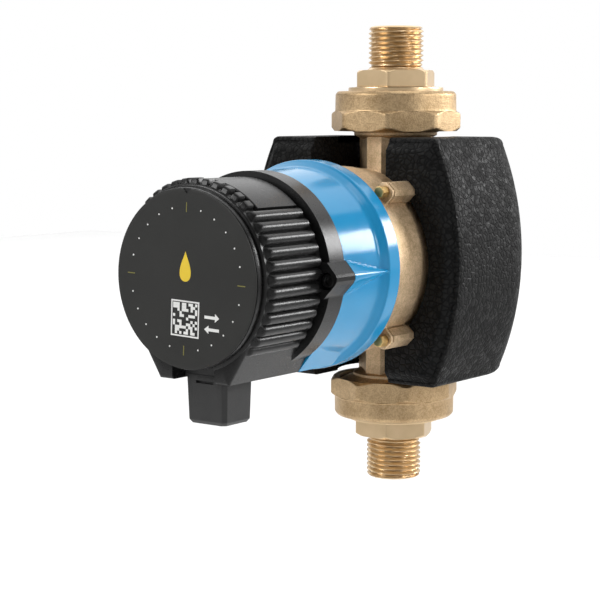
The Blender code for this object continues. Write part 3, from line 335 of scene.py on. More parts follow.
def finish(name, dark, light, gloss, metal=0.0, grain=0.4, depth=0.1, clouds=12.0, specular=0.5,
           speckled=False):
    """Material over a fine grain in relief: its colour drifts, and its gloss follows the grain."""
    made = bpy.data.materials.new(name)
    made.use_nodes = True
    tree = made.node_tree
    shader = tree.nodes["Principled BSDF"]
    shader.inputs["Metallic"].default_value = metal
    shader.inputs["Specular IOR Level"].default_value = specular
    cloud = wire(tree, "ShaderNodeGroup", node_tree=CLOUDS)
    cloud.inputs["Size mm"].default_value = clouds
    relief = wire(tree, "ShaderNodeGroup", node_tree=GRAIN)
    relief.inputs["Size mm"].default_value = grain
    mask = cloud.outputs["Mask"]
    if speckled:
        spots = wire(tree, "ShaderNodeMapRange", {"Value": relief.outputs["Height"],
                                                  "From Min": SPOT_LOW, "From Max": SPOT_HIGH})
        both = wire(tree, "ShaderNodeMath", {0: spots.outputs["Result"], 1: mask}, operation="ADD")
        half = wire(tree, "ShaderNodeMath", {0: both.outputs[0], 1: 0.5}, operation="MULTIPLY")
        mask = half.outputs[0]
    colour = wire(tree, "ShaderNodeMix", {"Factor": mask}, data_type="RGBA")
    colour.inputs["A"].default_value = (*dark, 1)
    colour.inputs["B"].default_value = (*light, 1)
    tree.links.new(colour.outputs["Result"], shader.inputs["Base Color"])
    rough = wire(tree, "ShaderNodeMapRange", {"Value": relief.outputs["Height"], "From Min": 0.4,
                                              "From Max": 1.1, "To Min": gloss[0], "To Max": gloss[1]})
    tree.links.new(rough.outputs["Result"], shader.inputs["Roughness"])
    bump = wire(tree, "ShaderNodeBump", {"Height": relief.outputs["Height"], "Strength": 0.6,
                                         "Distance": depth * MM})
    tree.links.new(bump.outputs["Normal"], shader.inputs["Normal"])
    return made


# %% [markdown]
# The housing and nuts are blasted brass: a sandy skin of bright speckles. It comes as two copies: the
# lighter one on the housing and ring is painted light, and the darker one on the nuts is painted shade.
# Where the nipples were turned and threaded the brass is bare and smooth. The blue cup is gloss plastic,
# the control head is a satin black with a fine spark-eroded texture, and the plug below it is duller, its
# black a little lighter as painted light.

# %% The finishes
# Painted light: this brass is made lighter than the nuts' to stand in for the light falling on the housing
# and ring.
PAINTED_LIGHT_BRASS = finish("brass with painted light", (0.50, 0.355, 0.20), (0.86, 0.665, 0.45), (0.45, 0.64), 1.0,
                    grain=0.5, depth=0.16, clouds=9.0, speckled=True)
# Painted shade: the same blasted brass made darker for the nuts, which catch less light.
PAINTED_SHADE_BRASS = finish("brass with painted shade", (0.30, 0.20, 0.10), (0.58, 0.42, 0.245), (0.36, 0.56), 1.0,
                   grain=0.5, depth=0.16, clouds=9.0, speckled=True)
TURNED_BRASS = finish("turned brass", (0.58, 0.43, 0.255), (0.66, 0.49, 0.30), (0.28, 0.40), 1.0,
                      grain=1.2, depth=0.004, clouds=9.0)
BLUE = finish("blue moulding", (0.013, 0.225, 0.45), (0.016, 0.245, 0.48), (0.12, 0.18), 0.0,
              grain=3.0, depth=0.006, clouds=30.0, specular=0.36)
BLACK = finish("black moulding", (0.006, 0.006, 0.006), (0.010, 0.010, 0.010), (0.24, 0.36), 0.0,
               grain=0.35, depth=0.03, clouds=14.0, specular=0.26)
# Partly painted light: the plug's black is a little lighter than the head's to stand in for the key light
# on its front; its duller gloss is its own.
PAINTED_LIGHT_PLUG_BLACK = finish("plug moulding with painted light", (0.014, 0.014, 0.014), (0.020, 0.020, 0.020), (0.40, 0.54), 0.0,
                    grain=0.5, depth=0.08, clouds=10.0, specular=0.45)
FACE = finish("dial face", (0.016, 0.016, 0.0148), (0.020, 0.020, 0.0187), (0.5, 0.6), 0.0,
              grain=0.3, depth=0.02, clouds=20.0, specular=0.3)
STEEL = finish("screw steel", (0.42, 0.42, 0.42), (0.56, 0.56, 0.55), (0.2, 0.35), 1.0,
               grain=0.8, depth=0.01, clouds=4.0)
BLACK_STEEL = finish("blackened steel", (0.02, 0.02, 0.02), (0.05, 0.05, 0.05), (0.25, 0.4), 0.8,
                     grain=0.5, depth=0.01, clouds=3.0)
ZINC = finish("yellow zinc", (0.60, 0.39, 0.14), (0.74, 0.51, 0.22), (0.3, 0.42), 1.0,
              grain=0.7, depth=0.01, clouds=2.5)
RUBBER = finish("rubber", (0.012, 0.012, 0.012), (0.02, 0.02, 0.02), (0.6, 0.75), 0.0, grain=0.3)
FIBRE = finish("pressed fibre", (0.04, 0.12, 0.05), (0.08, 0.20, 0.09), (0.7, 0.9), 0.0, grain=0.3)
IVORY = finish("ivory moulding", (0.55, 0.51, 0.42), (0.64, 0.60, 0.50), (0.35, 0.5), 0.0, grain=0.6,
               depth=0.02)
CERAMIC = finish("ceramic", (0.72, 0.71, 0.67), (0.80, 0.79, 0.75), (0.1, 0.2), 0.0, grain=1.0,
                 depth=0.004)
FERRITE = finish("ferrite", (0.03, 0.03, 0.033), (0.06, 0.06, 0.063), (0.4, 0.6), 0.3, grain=0.3)
LAMINATION = finish("core steel", (0.16, 0.16, 0.17), (0.24, 0.24, 0.25), (0.35, 0.5), 0.9, grain=0.4)
COPPER = finish("enamelled copper", (0.45, 0.15, 0.05), (0.60, 0.24, 0.09), (0.2, 0.35), 0.9, grain=0.5)
BOARD = finish("coated board", (0.01, 0.09, 0.03), (0.015, 0.13, 0.045), (0.3, 0.45), 0.0, grain=0.6)
WHITE_INK = finish("white ink", (0.72, 0.72, 0.70), (0.78, 0.78, 0.76), (0.45, 0.55), grain=0.3)
YELLOW_INK = finish("yellow ink", (0.72, 0.50, 0.02), (0.80, 0.57, 0.03), (0.4, 0.5), grain=0.3)
OLIVE_INK = finish("olive ink", (0.16, 0.15, 0.02), (0.20, 0.18, 0.03), (0.45, 0.55), grain=0.3)
print("finishes:", len(bpy.data.materials))


# %% [markdown]
# Bead foam is blown in a mould from beads about two millimetres across, which press into flat cells with
# a fine seam between. A Voronoi pattern gives the cells: its distance to the nearest edge makes the
# seams, and each cell's own value makes some beads shinier and a little higher than others.

# %% Bead foam
WARP_SCALE, WARP = 500.0, 0.0006     # waves per metre, and push in metres
SEAM_WIDTH = 0.26                    # as a share of a bead
BEAD_LIFT, FOAM_GRAIN = 0.25, 0.35   # heights beside a seam's depth of 1


def bead_foam(bead):
    """Black foam of pressed beads, each so many millimetres across."""
    made = bpy.data.materials.new("bead foam")
    made.use_nodes = True
    tree = made.node_tree
    shader = tree.nodes["Principled BSDF"]
    shader.inputs["Specular IOR Level"].default_value = 0.09
    place = wire(tree, "ShaderNodeTexCoord")
    warp = wire(tree, "ShaderNodeTexNoise", {"Vector": place.outputs["Object"], "Scale": WARP_SCALE})
    shift = wire(tree, "ShaderNodeVectorMath", {0: warp.outputs["Color"]}, operation="SCALE")
    shift.inputs["Scale"].default_value = WARP
    spot = wire(tree, "ShaderNodeVectorMath", {0: place.outputs["Object"], 1: shift.outputs[0]},
                operation="ADD")
    edge = wire(tree, "ShaderNodeTexVoronoi", {"Vector": spot.outputs[0], "Scale": PER_METRE / bead},
                feature="DISTANCE_TO_EDGE")
    cell = wire(tree, "ShaderNodeTexVoronoi", {"Vector": spot.outputs[0], "Scale": PER_METRE / bead})
    seam = wire(tree, "ShaderNodeMapRange", {"Value": edge.outputs["Distance"], "From Max": SEAM_WIDTH},
                interpolation_type="SMOOTHSTEP")
    relief = wire(tree, "ShaderNodeGroup", node_tree=GRAIN)
    relief.inputs["Size mm"].default_value = 0.5
    value = wire(tree, "ShaderNodeSeparateColor", {"Color": cell.outputs["Color"]})
    lift = wire(tree, "ShaderNodeMath", {0: value.outputs["Red"], 1: BEAD_LIFT}, operation="MULTIPLY")
    beads = wire(tree, "ShaderNodeMath", {0: seam.outputs["Result"], 1: lift.outputs[0]}, operation="ADD")
    sand = wire(tree, "ShaderNodeMath", {0: relief.outputs["Height"], 1: FOAM_GRAIN},
                operation="MULTIPLY")
    height = wire(tree, "ShaderNodeMath", {0: beads.outputs[0], 1: sand.outputs[0]}, operation="ADD")
    bump = wire(tree, "ShaderNodeBump", {"Height": height.outputs[0], "Strength": 0.8,
                                         "Distance": 0.22 * MM})
    tree.links.new(bump.outputs["Normal"], shader.inputs["Normal"])
    colour = wire(tree, "ShaderNodeMix", {"Factor": seam.outputs["Result"]}, data_type="RGBA")
    colour.inputs["A"].default_value = (0.003, 0.003, 0.003, 1)
    colour.inputs["B"].default_value = (0.011, 0.011, 0.0108, 1)
    tree.links.new(colour.outputs["Result"], shader.inputs["Base Color"])
    gloss = wire(tree, "ShaderNodeMapRange", {"Value": value.outputs["Green"], "To Min": 0.42,
                                              "To Max": 0.7})
    tree.links.new(gloss.outputs["Result"], shader.inputs["Roughness"])
    return made


FOAM = bead_foam(2.0)


# %% [markdown]
# ## Nipples
# Each nipple is turned from bar: a flange that the nut pulls on, a shoulder that fills the nut's mouth,
# a hexagon for the wrench, and a pipe thread. The thread is a ridge that climbs one pitch a turn, so its
# height depends on the height along the pipe minus the angle's share of the pitch.

# %% Nipple surface
PITCH = 1.814                  # R 1/2 pipe thread
THREAD_DEPTH = 1.15
THREAD_R = 10.4
BORE_R = 8.0
COLLAR_FLATS = 27.0
COLLAR_R = COLLAR_FLATS / np.sqrt(3)
COLLAR_TURN = -8.0             # degrees from +X to the hexagon's first corner
SHOULDER_R = 18.0
NIPPLE_FLANGE_R = 19.7
FLANGE_DEPTH = 2.0             # from the nut's end in to the flange
COLLAR_IN, COLLAR_OUT = NUT_OUTER + 1.4, NUT_OUTER + 7.8
THREAD_FOOT = COLLAR_OUT + 1.0


def thread_height(angle, height, start, stop):
    """Ridge from 0 to 1: a triangle wave with soft crests, fading out over the first turn."""
    phase = (height / PITCH - angle / (2 * pi)) % 1.0
    wave = np.clip(1.25 * (1 - 2 * np.abs(phase - 0.5)) - 0.08, 0, 1)
    fade = np.clip((height - start) / (0.8 * PITCH), 0, 1) * np.clip((stop - height) / 0.6, 0, 1)
    return wave * fade


def nipple(name, side, steps=180):
    """Radius as a function of angle and of place on the outline, flats and thread included."""
    flange_out = NUT_OUTER - FLANGE_DEPTH
    corners = [(BORE_R, FLANGE_INNER), (NIPPLE_FLANGE_R, FLANGE_INNER), (NIPPLE_FLANGE_R, flange_out),
               (SHOULDER_R, flange_out), (SHOULDER_R, COLLAR_IN), (COLLAR_R, COLLAR_IN + 0.1),
               (COLLAR_R, COLLAR_OUT), (THREAD_R + 0.6, COLLAR_OUT + 0.1),
               (THREAD_R - 0.5, THREAD_FOOT), (THREAD_R, THREAD_FOOT + 0.4), (THREAD_R, PIPE_END - 1.0),
               (THREAD_R - 1.1, PIPE_END), (BORE_R + 0.2, PIPE_END)]
    outline = subdivided(rounded(corners, 0.35), PITCH / 9)
    radius, height = outline[None, :, 0], outline[None, :, 1]
    angle = full_turn(steps) + radians(COLLAR_TURN)
    radius = radius + 0 * angle
    threaded = (radius > THREAD_R - 0.3) & (height > THREAD_FOOT)
    ridge = thread_height(angle, height, THREAD_FOOT + 0.2, PIPE_END - 0.4)
    radius = np.where(threaded, radius - THREAD_DEPTH * (1 - ridge), radius)
    from_flat = (angle - radians(COLLAR_TURN)) % (pi / 3) - pi / 6
    flat = COLLAR_FLATS / 2 / np.cos(from_flat)
    turned_off = COLLAR_R - 0.15 - np.clip(height - COLLAR_OUT + 0.9, 0, 1) * 1.4
    on_collar = (height > COLLAR_IN + 0.3) & (height < COLLAR_OUT + 0.05) & (radius > THREAD_R + 1.5)
    radius = np.where(on_collar, np.minimum(radius, np.minimum(flat, turned_off)), radius)
    piece = surface(name, along_pipe(radius, angle, side * height))
    return dress(piece, name, TURNED_BRASS)


for word, side in (("inlet", -1), ("outlet", 1)):
    made = nipple(word + "_nipple", side)
    print(made.name, len(made.data.polygons), "faces")

# %% [markdown]
# ## Union nuts
# A union nut is half ring, half spanner flats: eight flats with their corners turned off on a slope. The
# radius at any angle is the flat's distance divided by the cosine of the angle from its middle, and it is
# held under the slope's radius, which gives the curved lines where flat and slope meet.

# %% Union nuts
NUT_FLATS = 46.0
HEX_LENGTH = 7.3
LIP = 1.7
ROUND_R = 23.0                 # the plain round part
ROUND_END_R = 21.9
LEAST_R = 22.6                 # the slopes never cut deeper than this
THREAD_ROOM_R = 21.3           # clear of the housing's thread
MOUTH_R = SHOULDER_R + 0.3
NUT_ANGLE = {"inlet": 22.2, "outlet": 3.7}


def union_nut(name, side, turned_by, steps=256):
    """Octagon below, round above, one closed outline that runs in through the mouth and out again."""
    step = NUT_INNER + HEX_LENGTH
    crest = NUT_FLATS / 2 / np.cos(pi / 8)
    corners = [(THREAD_ROOM_R, NUT_INNER), (crest, NUT_INNER), (crest, step), (ROUND_R, step + 0.05),
               (ROUND_R - 0.1, NUT_OUTER - 1.2), (ROUND_END_R, NUT_OUTER), (MOUTH_R, NUT_OUTER),
               (MOUTH_R, NUT_OUTER - LIP), (THREAD_ROOM_R, NUT_OUTER - LIP)]
    outline = subdivided(rounded(corners, 0.7, steps=5), 0.5)
    angle = full_turn(steps) + radians(turned_by - 90)
    radius, height = outline[None, :, 0] + 0 * angle, outline[None, :, 1]
    from_flat = (angle - radians(turned_by - 90) + pi / 8) % (pi / 4) - pi / 8
    flat = NUT_FLATS / 2 / np.cos(from_flat)
    slope = np.minimum(crest - 0.25, NUT_FLATS / 2 + 0.25 + 1.1 * (height - NUT_INNER))
    top_slope = NUT_FLATS / 2 + 0.35 + 1.6 * (step - height)
    octagon = np.minimum(np.minimum(flat, slope), top_slope)
    flats = (height < step + 0.1) & (radius > THREAD_ROOM_R + 0.2)
    radius = np.where(flats, np.minimum(radius, np.maximum(octagon, LEAST_R)), radius)
    piece = surface(name, along_pipe(radius, angle, side * height))
    # The nuts take the darker brass, whose colour is painted shade.
    return dress(piece, name, PAINTED_SHADE_BRASS)


for word, side in (("inlet", -1), ("outlet", 1)):
    made = union_nut(word + "_union_nut", side, NUT_ANGLE[word])
    print(made.name, len(made.data.polygons), "faces")

# %% [markdown]
# ## Polar shapes
# The blue cup and the control head are round bodies with things standing out of them: side wedges for the
# screws, a flat-bottomed box, and ribs. Each cross-section is still one radius for each angle, so the
# body is one surface whose radius is the largest of its features there.

# %% How far an outline reaches at each angle
def polar_reach(outline, angle):
    """Distance from the axis to the far side of an outline along each angle, or 0 where it misses."""
    direction = np.stack([np.cos(angle), np.sin(angle)], axis=-1)
    far = np.zeros_like(angle)
    points = np.asarray(outline, float)
    for a, b in zip(points, np.roll(points, -1, axis=0)):
        edge = b - a
        across = direction[..., 0] * edge[1] - direction[..., 1] * edge[0]
        safe = np.where(np.abs(across) < 1e-9, 1e-9, across)
        distance = (a[0] * edge[1] - a[1] * edge[0]) / safe
        share = (a[0] * direction[..., 1] - a[1] * direction[..., 0]) / safe
        hit = (share >= -1e-9) & (share <= 1 + 1e-9) & (distance > 0)
        far = np.where(hit, np.maximum(far, distance), far)
    return far


LUG_TIP = reach("control_housing", 0)
LUG_TOP, LUG_BOTTOM = 5.0, -7.2
LUG_ROOT = 26.0                # where a lug starts, inside the round body


def wedge(side):
    """Screw lug seen from the front: flat on top, pointed outwards, sloping below."""
    outline = [(LUG_ROOT, LUG_BOTTOM + 0.2), (LUG_TIP - 5.4, LUG_BOTTOM), (LUG_TIP - 0.8, -2.4),
               (LUG_TIP - 0.1, -1.2), (LUG_TIP, 0.2), (LUG_TIP - 0.6, 1.2),
               (LUG_TIP - 4.0, LUG_TOP), (LUG_ROOT, LUG_TOP)]
    return [(side * x, z) for x, z in outline]


BOX_HALF = 14.8                # terminal box, half its width


def box_outline(radius):
    """Terminal box seen from the front, with flanks that touch the round body."""
    corner = np.hypot(BOX_HALF, BOX_FLOOR)
    touch = np.arctan2(-BOX_FLOOR, BOX_HALF) + np.arccos(min(1.0, radius / corner))
    x, z = radius * np.cos(touch), radius * np.sin(touch)
    return [(-x, z), (-BOX_HALF, -BOX_FLOOR), (BOX_HALF, -BOX_FLOOR), (x, z), (0.0, 6.0)]


# %% [markdown]
# ## Control head
# The head's ribs are half-round fins, eight degrees apart, with a rounded front end. Over the top they are
# cut back to short square teeth in front of a plain band. A rim at the rear carries the two screw lugs.

# %% Control head surface
ROOT_R, BAND_R, CONTROL_RIM_R = 31.1, 32.5, 34.4
RIB_PITCH, RIB_HALF, RIB_RISE = 8.0, 1.95, 1.9
TOOTH_HALF, TOOTH_FLANK = 1.6, 0.35
FIRST_RIB, LAST_RIB = 6, 18    # counted from the top; the crests before the first are teeth
RIM_FRONT = CONTROL_REAR + 8.5
RIB_REAR, RIB_FRONT = RIM_FRONT + 1.9, CONTROL_FRONT - 1.6
TOOTH_REAR = CONTROL_FRONT - 5.6
BOX_FRONT = CONTROL_FRONT - 0.6
BOX_EDGE = 1.2                 # rounding of the box's front edge
HEAD_BOX = box_outline(ROOT_R - 0.2)


def rib_profile(from_top):
    """Half-round fin and flat-topped tooth over the nearest crest, and that crest's number."""
    number = np.round(from_top / RIB_PITCH)
    across = np.radians(from_top - number * RIB_PITCH) * ROOT_R
    fin = RIB_RISE * np.sqrt(np.clip(1 - (across / RIB_HALF) ** 2, 0, 1))
    tooth = RIB_RISE * np.clip((TOOTH_HALF - np.abs(across)) / TOOTH_FLANK, 0, 1)
    return fin, tooth, number


def ended(forward, rear, front, soft_rear, soft_front):
    """1 between two places along the axis, rounded off as a quarter circle at each end."""
    rise = np.clip((forward - rear) / soft_rear, 0, 1)
    fall = np.clip((front - forward) / soft_front, 0, 1)
    return np.sqrt(1 - (1 - rise) ** 2) * np.sqrt(1 - (1 - fall) ** 2)


def head_radius(angle, forward):
    """Radius of the control head: the largest of its rim, ribs, teeth, band, lugs and box."""
    from_top = np.abs((np.degrees(angle) - 90 + 180) % 360 - 180)
    fin, tooth, number = rib_profile(from_top)
    rim = np.where(forward < RIM_FRONT, CONTROL_RIM_R, ROOT_R)
    side_ribs = (number >= FIRST_RIB) & (number <= LAST_RIB)
    teeth = number < FIRST_RIB
    radius = ROOT_R + fin * side_ribs * ended(forward, RIB_REAR, RIB_FRONT, 0.5, 1.6)
    radius = np.maximum(radius, ROOT_R + tooth * teeth * ended(forward, TOOTH_REAR, RIB_FRONT, 0.4, 1.2))
    band = (BAND_R - ROOT_R) * ended(forward, RIB_REAR, TOOTH_REAR - 1.0, 0.6, 0.6)
    radius = np.maximum(radius, ROOT_R + band * (from_top < (FIRST_RIB - 0.5) * RIB_PITCH))
    nose = np.clip((CONTROL_FRONT - forward) / 1.4, 0, 1)
    radius = np.minimum(radius, DIAL_R + 0.4 + 3.5 * nose)
    radius = np.maximum(radius, rim * (forward < RIM_FRONT + 0.01))
    lug = sum(polar_reach(wedge(side), angle) for side in (1, -1))
    radius = np.where(forward < RIM_FRONT + 2.0, np.maximum(radius, lug), radius)
    box_end = np.clip((BOX_FRONT - forward) / BOX_EDGE, 0, 1)
    box = polar_reach(HEAD_BOX, angle) - BOX_EDGE * (1 - np.sqrt(1 - (1 - box_end) ** 2))
    return np.where(forward < BOX_FRONT, np.maximum(radius, box), radius)


def stations(*runs):
    """Places along the axis: each run is (start, end, spacing), ends included."""
    rows = [np.linspace(a, b, max(2, int(round(abs(b - a) / step)) + 1)) for a, b, step in runs]
    flat = np.concatenate(rows)
    return flat[np.concatenate([[True], np.abs(np.diff(flat)) > 1e-4])]


def feature_angles(count, *outlines):
    """Even angles plus the exact angle of every corner in the given outlines."""
    even = np.linspace(0, 2 * pi, count, endpoint=False)
    corners = [np.arctan2(z, x) % (2 * pi) for outline in outlines for x, z in outline]
    merged = np.unique(np.concatenate([even, corners]))
    return merged[np.concatenate([[True], np.diff(merged) > 1e-3])][:, None]


def cup(angle, outer_radius, places, inner):
    """Closed cup: an outer surface from front to rear, then back inside along (radius, forward)."""
    forward = places[None, :]
    outside = outer_radius(angle, forward + 0 * angle)
    inside = np.asarray(inner, float)
    radius = np.concatenate([outside, inside[None, :, 0] + 0 * angle], axis=1)
    along = np.concatenate([places, inside[:, 1]])[None, :] + 0 * angle
    return along_motor(radius, angle, along)


def cutter_box(low, high):
    """A box between two corners, in millimetres from the motor axis (x, forward, up)."""
    size = [(b - a) * MM for a, b in zip(low, high)]
    middle = [(a + b) / 2 * MM for a, b in zip(low, high)]
    work = bmesh.new()
    bmesh.ops.create_cube(work, size=1.0)
    bmesh.ops.scale(work, vec=size, verts=work.verts)
    bmesh.ops.translate(work, vec=(middle[0], -middle[1], middle[2] + AXIS_UP * MM), verts=work.verts)
    mesh = bpy.data.meshes.new("cutter")
    work.to_mesh(mesh)
    work.free()
    return placed("cutter", mesh)


def cutter_rod(place, radius, low, high, x=0.0, up=0.0, steps=32):
    """A round bar along the pipe or the motor axis, moved by x and up."""
    angle = full_turn(steps)
    outline = np.array([(0, high), (radius, high), (radius, low), (0, low)], float)
    points = place(outline[None, :, 0] + 0 * angle, angle, outline[None, :, 1])
    return surface("cutter", points + np.array([x, 0, up]), closed=False)


SCREW_X, SCREW_UP, SCREW_ROOM_R = 34.3, -1.2, 3.0
PLUG_AT = (reach("plug_body", 1, False) + reach("plug_body", 1)) / -2
SOCKET_HALF, SOCKET_REACH, SOCKET_TOP = 7.8, 5.8, -27.0
NOTCH_HALF, NOTCH_START, NOTCH_TOP = 9.1, 3.2, -28.9
HEAD_WALL, SPINDLE_ROOM_R = 2.6, 4.5

places = stations((CONTROL_FRONT, BOX_FRONT, 0.2), (BOX_FRONT - 0.01, RIB_FRONT - 1.6, 0.25),
                  (TOOTH_REAR + 0.5, TOOTH_REAR - 1.7, 0.14), (RIB_REAR + 0.7, RIM_FRONT + 1.4, 0.14),
                  (RIM_FRONT + 1.39, RIM_FRONT + 0.02, 0.6), (RIM_FRONT, RIM_FRONT - 0.6, 0.3),
                  (RIM_FRONT - 4.0, CONTROL_REAR, 4.0))
places[-1] = CONTROL_REAR
wall_in, wall_front = ROOT_R - HEAD_WALL, CONTROL_FRONT - HEAD_WALL
head_grid = cup(feature_angles(720, wedge(1), wedge(-1), HEAD_BOX), head_radius, places,
                [(wall_in, CONTROL_REAR), (wall_in, wall_front), (SPINDLE_ROOM_R, wall_front),
                 (SPINDLE_ROOM_R, CONTROL_FRONT)])
below = -BOX_FLOOR - 2
control_head = carve(
    surface("control_head", head_grid, sharp=40),
    cutter_box((-SOCKET_HALF, PLUG_AT - SOCKET_REACH, below),
               (SOCKET_HALF, PLUG_AT + SOCKET_REACH, SOCKET_TOP)),
    cutter_box((-NOTCH_HALF, PLUG_AT + NOTCH_START, below), (NOTCH_HALF, CONTROL_FRONT + 1, NOTCH_TOP)),
    cutter_rod(along_motor, SCREW_ROOM_R, RIM_FRONT - 1.5, RIM_FRONT + 4, SCREW_X, SCREW_UP),
    cutter_rod(along_motor, SCREW_ROOM_R, RIM_FRONT - 1.5, RIM_FRONT + 4, -SCREW_X, SCREW_UP))
dress(control_head, "control_housing", BLACK)
print("control head:", len(control_head.data.polygons), "faces")

# %% [markdown]
# ## Blue motor cup
# A slightly conical cup with a gloss skin. It steps out through a sloping shoulder to its rim, and each
# side wedge starts as the screw lug's outline and shrinks to a point there.

# %% Motor cup surface
CUP_STEP = MOTOR_REAR + 6.4
CUP_FRONT_R, CUP_REAR_R = 33.7, 35.0
CUP_BOX = box_outline(CUP_FRONT_R - 0.4)
CUP_WALL, STATOR_ROOM_R, CABLE_ROOM_R = 1.8, 33.5, 6.0
cup_line = rounded([(CUP_FRONT_R - 0.5, MOTOR_FRONT), (CUP_FRONT_R, MOTOR_FRONT - 0.4),
                    (CUP_REAR_R, CUP_STEP + 3.0), (RIM_R - 0.7, CUP_STEP + 0.7), (RIM_R, CUP_STEP),
                    (RIM_R, MOTOR_REAR + 0.3), (RIM_R - 0.3, MOTOR_REAR)], 1.2, steps=5, closed=False)
cup_line = subdivided(cup_line, 0.8)


def wedge_reach(side, angle, share):
    """The wedge's outline at a share of its full size, shrunk towards a tip on the rim."""
    tip = RIM_R - 0.2 + (LUG_TIP - RIM_R + 0.2) * share
    outline = [(side * (tip + (abs(x) - LUG_TIP) * share), z * share) for x, z in wedge(side)]
    return polar_reach(outline, angle)


def cup_radius(angle, forward):
    """Round cup, wedges that shrink to a point on the rim, and the flat of the box below."""
    radius = np.interp(-forward, -cup_line[:, 1], cup_line[:, 0])
    share = np.clip((forward[0] - CUP_STEP) / (MOTOR_FRONT - CUP_STEP), 0, 1)
    for side in (1, -1):
        reached = [wedge_reach(side, angle[:, :1], s) if s > 0 else 0 * angle[:, :1] for s in share]
        radius = np.maximum(radius, np.concatenate(reached, axis=1))
    floor = polar_reach(CUP_BOX, angle)
    end = np.clip((forward - CUP_STEP - 1.5) / 1.0, 0, 1)
    return np.where(end > 0, np.maximum(radius, floor - 1.5 * (1 - end)), radius)


cup_places = stations((MOTOR_FRONT, MOTOR_FRONT - 1.0, 0.25), (MOTOR_FRONT - 1.8, CUP_STEP + 4.0, 0.8),
                      (CUP_STEP + 3.8, CUP_STEP - 0.6, 0.2), (CUP_STEP - 1.0, MOTOR_REAR + 0.6, 1.2),
                      (MOTOR_REAR + 0.4, MOTOR_REAR, 0.1))
cup_inside = MOTOR_FRONT - CUP_WALL
cup_grid = cup(feature_angles(360, wedge(1), wedge(-1), CUP_BOX), cup_radius, cup_places,
               [(STATOR_ROOM_R, MOTOR_REAR), (STATOR_ROOM_R, CUP_STEP - 1.5),
                (STATOR_ROOM_R - 0.5, CUP_STEP), (CUP_FRONT_R - CUP_WALL, cup_inside),
                (CABLE_ROOM_R, cup_inside), (CABLE_ROOM_R, MOTOR_FRONT)])
motor_cup = surface("motor_cup", cup_grid, sharp=38)
dress(motor_cup, "motor_housing", BLUE)
print("motor cup:", len(motor_cup.data.polygons), "faces")

# %% [markdown]
# ## Front dial
# The dial is a flat disc with a printed face. Its print is a ring of 24 marks: a tick at each quarter and
# dots between, with a plain drop and a framed grid of squares where a maker would put its own signs. Each
# mark is a skin of ink a few hundredths of a millimetre thick, so it stays a real shape.

# %% Dial disc and face
DIAL_TURN = -2.06              # degrees the dial has been turned
FACE_R, NOTCH_DEPTH = DIAL_R - 0.3, 1.7
SPINDLE_R = 4.1
DISC_BACK, SPINDLE_END = CONTROL_FRONT + 0.3, CONTROL_FRONT - 6.6
dial_disc = turn("dial_disc", [(0.0, DIAL_SEAT), (DIAL_R, DIAL_SEAT), (DIAL_R, DISC_BACK),
                               (SPINDLE_R, DISC_BACK), (SPINDLE_R, SPINDLE_END), (0.0, SPINDLE_END)],
                 along_motor, steps=180, radius=0.35, closed=False)
dress(dial_disc, "front_dial", BLACK)


def face_radius(angle, radius):
    """Disc with a small V notch at its top edge."""
    off = np.abs((np.degrees(angle) - 90 - DIAL_TURN + 180) % 360 - 180)
    notch = FACE_R - np.clip(NOTCH_DEPTH - off * radians(1) * DIAL_R, 0, NOTCH_DEPTH)
    return np.minimum(radius, notch)


face_line = rounded([(0.0, DIAL_FRONT), (FACE_R, DIAL_FRONT), (FACE_R, DIAL_SEAT + 0.05),
                     (0.0, DIAL_SEAT + 0.05)], 0.25, closed=False)
face_line = subdivided(face_line, 1.0)
angle = full_turn(360)
face_grid = along_motor(face_radius(angle, face_line[None, :, 0] + 0 * angle), angle,
                        face_line[None, :, 1])
dial_face = surface("dial_print_face", face_grid, closed=False)
dress(dial_face, "dial_face", FACE)

# %% Ink marks
INK_RISE, INK_SUNK = 0.03, 0.02      # above the face, and into it


def ink(name, outlines, finish_of_ink):
    """Thin raised shapes on the dial from (x, up) outlines, turned with the dial."""
    turn_by = radians(DIAL_TURN)
    spin = np.array([[np.cos(turn_by), np.sin(turn_by)], [-np.sin(turn_by), np.cos(turn_by)]])
    work = bmesh.new()
    for outline in outlines:
        flat = np.asarray(outline, float) @ spin
        corners = [work.verts.new((x * MM, (INK_SUNK - DIAL_FRONT) * MM, (AXIS_UP + z) * MM))
                   for x, z in flat]
        base = work.faces.new(corners)
        grown = bmesh.ops.extrude_face_region(work, geom=[base])
        top = [item for item in grown["geom"] if isinstance(item, bmesh.types.BMVert)]
        bmesh.ops.translate(work, verts=top, vec=(0, -(INK_RISE + INK_SUNK) * MM, 0))
    bmesh.ops.recalc_face_normals(work, faces=work.faces)
    mesh = bpy.data.meshes.new(name)
    work.to_mesh(mesh)
    work.free()
    return trim(placed(name, mesh), BODY_OF["dial_face"], finish_of_ink)


def disc_outline(x, z, radius, count=14):
    """Circle about a centre."""
    a = np.linspace(0, 2 * pi, count, endpoint=False)
    return np.stack([x + radius * np.cos(a), z + radius * np.sin(a)], axis=1)


def bar_outline(x, z, wide, tall, lean=0.0):
    """Rectangle about a centre, turned by lean degrees."""
    c, s = np.cos(radians(lean)), np.sin(radians(lean))
    box = np.array([(-wide, -tall), (wide, -tall), (wide, tall), (-wide, tall)]) / 2
    return np.stack([x + box[:, 0] * c - box[:, 1] * s, z + box[:, 0] * s + box[:, 1] * c], axis=1)


MARK_R, DOT_R = 23.6, 0.3
TICK_WIDE, TICK_TALL = 0.32, 3.2


def on_scale(degrees):
    """Place on the scale's circle, clockwise from the top."""
    return MARK_R * np.sin(radians(degrees)), MARK_R * np.cos(radians(degrees))


dots = [disc_outline(*on_scale(15 * k), DOT_R) for k in range(24) if k % 6]
ink("dial_dots", dots, WHITE_INK)
ticks = [bar_outline(*on_scale(90 * k), TICK_WIDE, TICK_TALL, -90 * k) for k in range(4)]
ink("dial_ticks", ticks, OLIVE_INK)

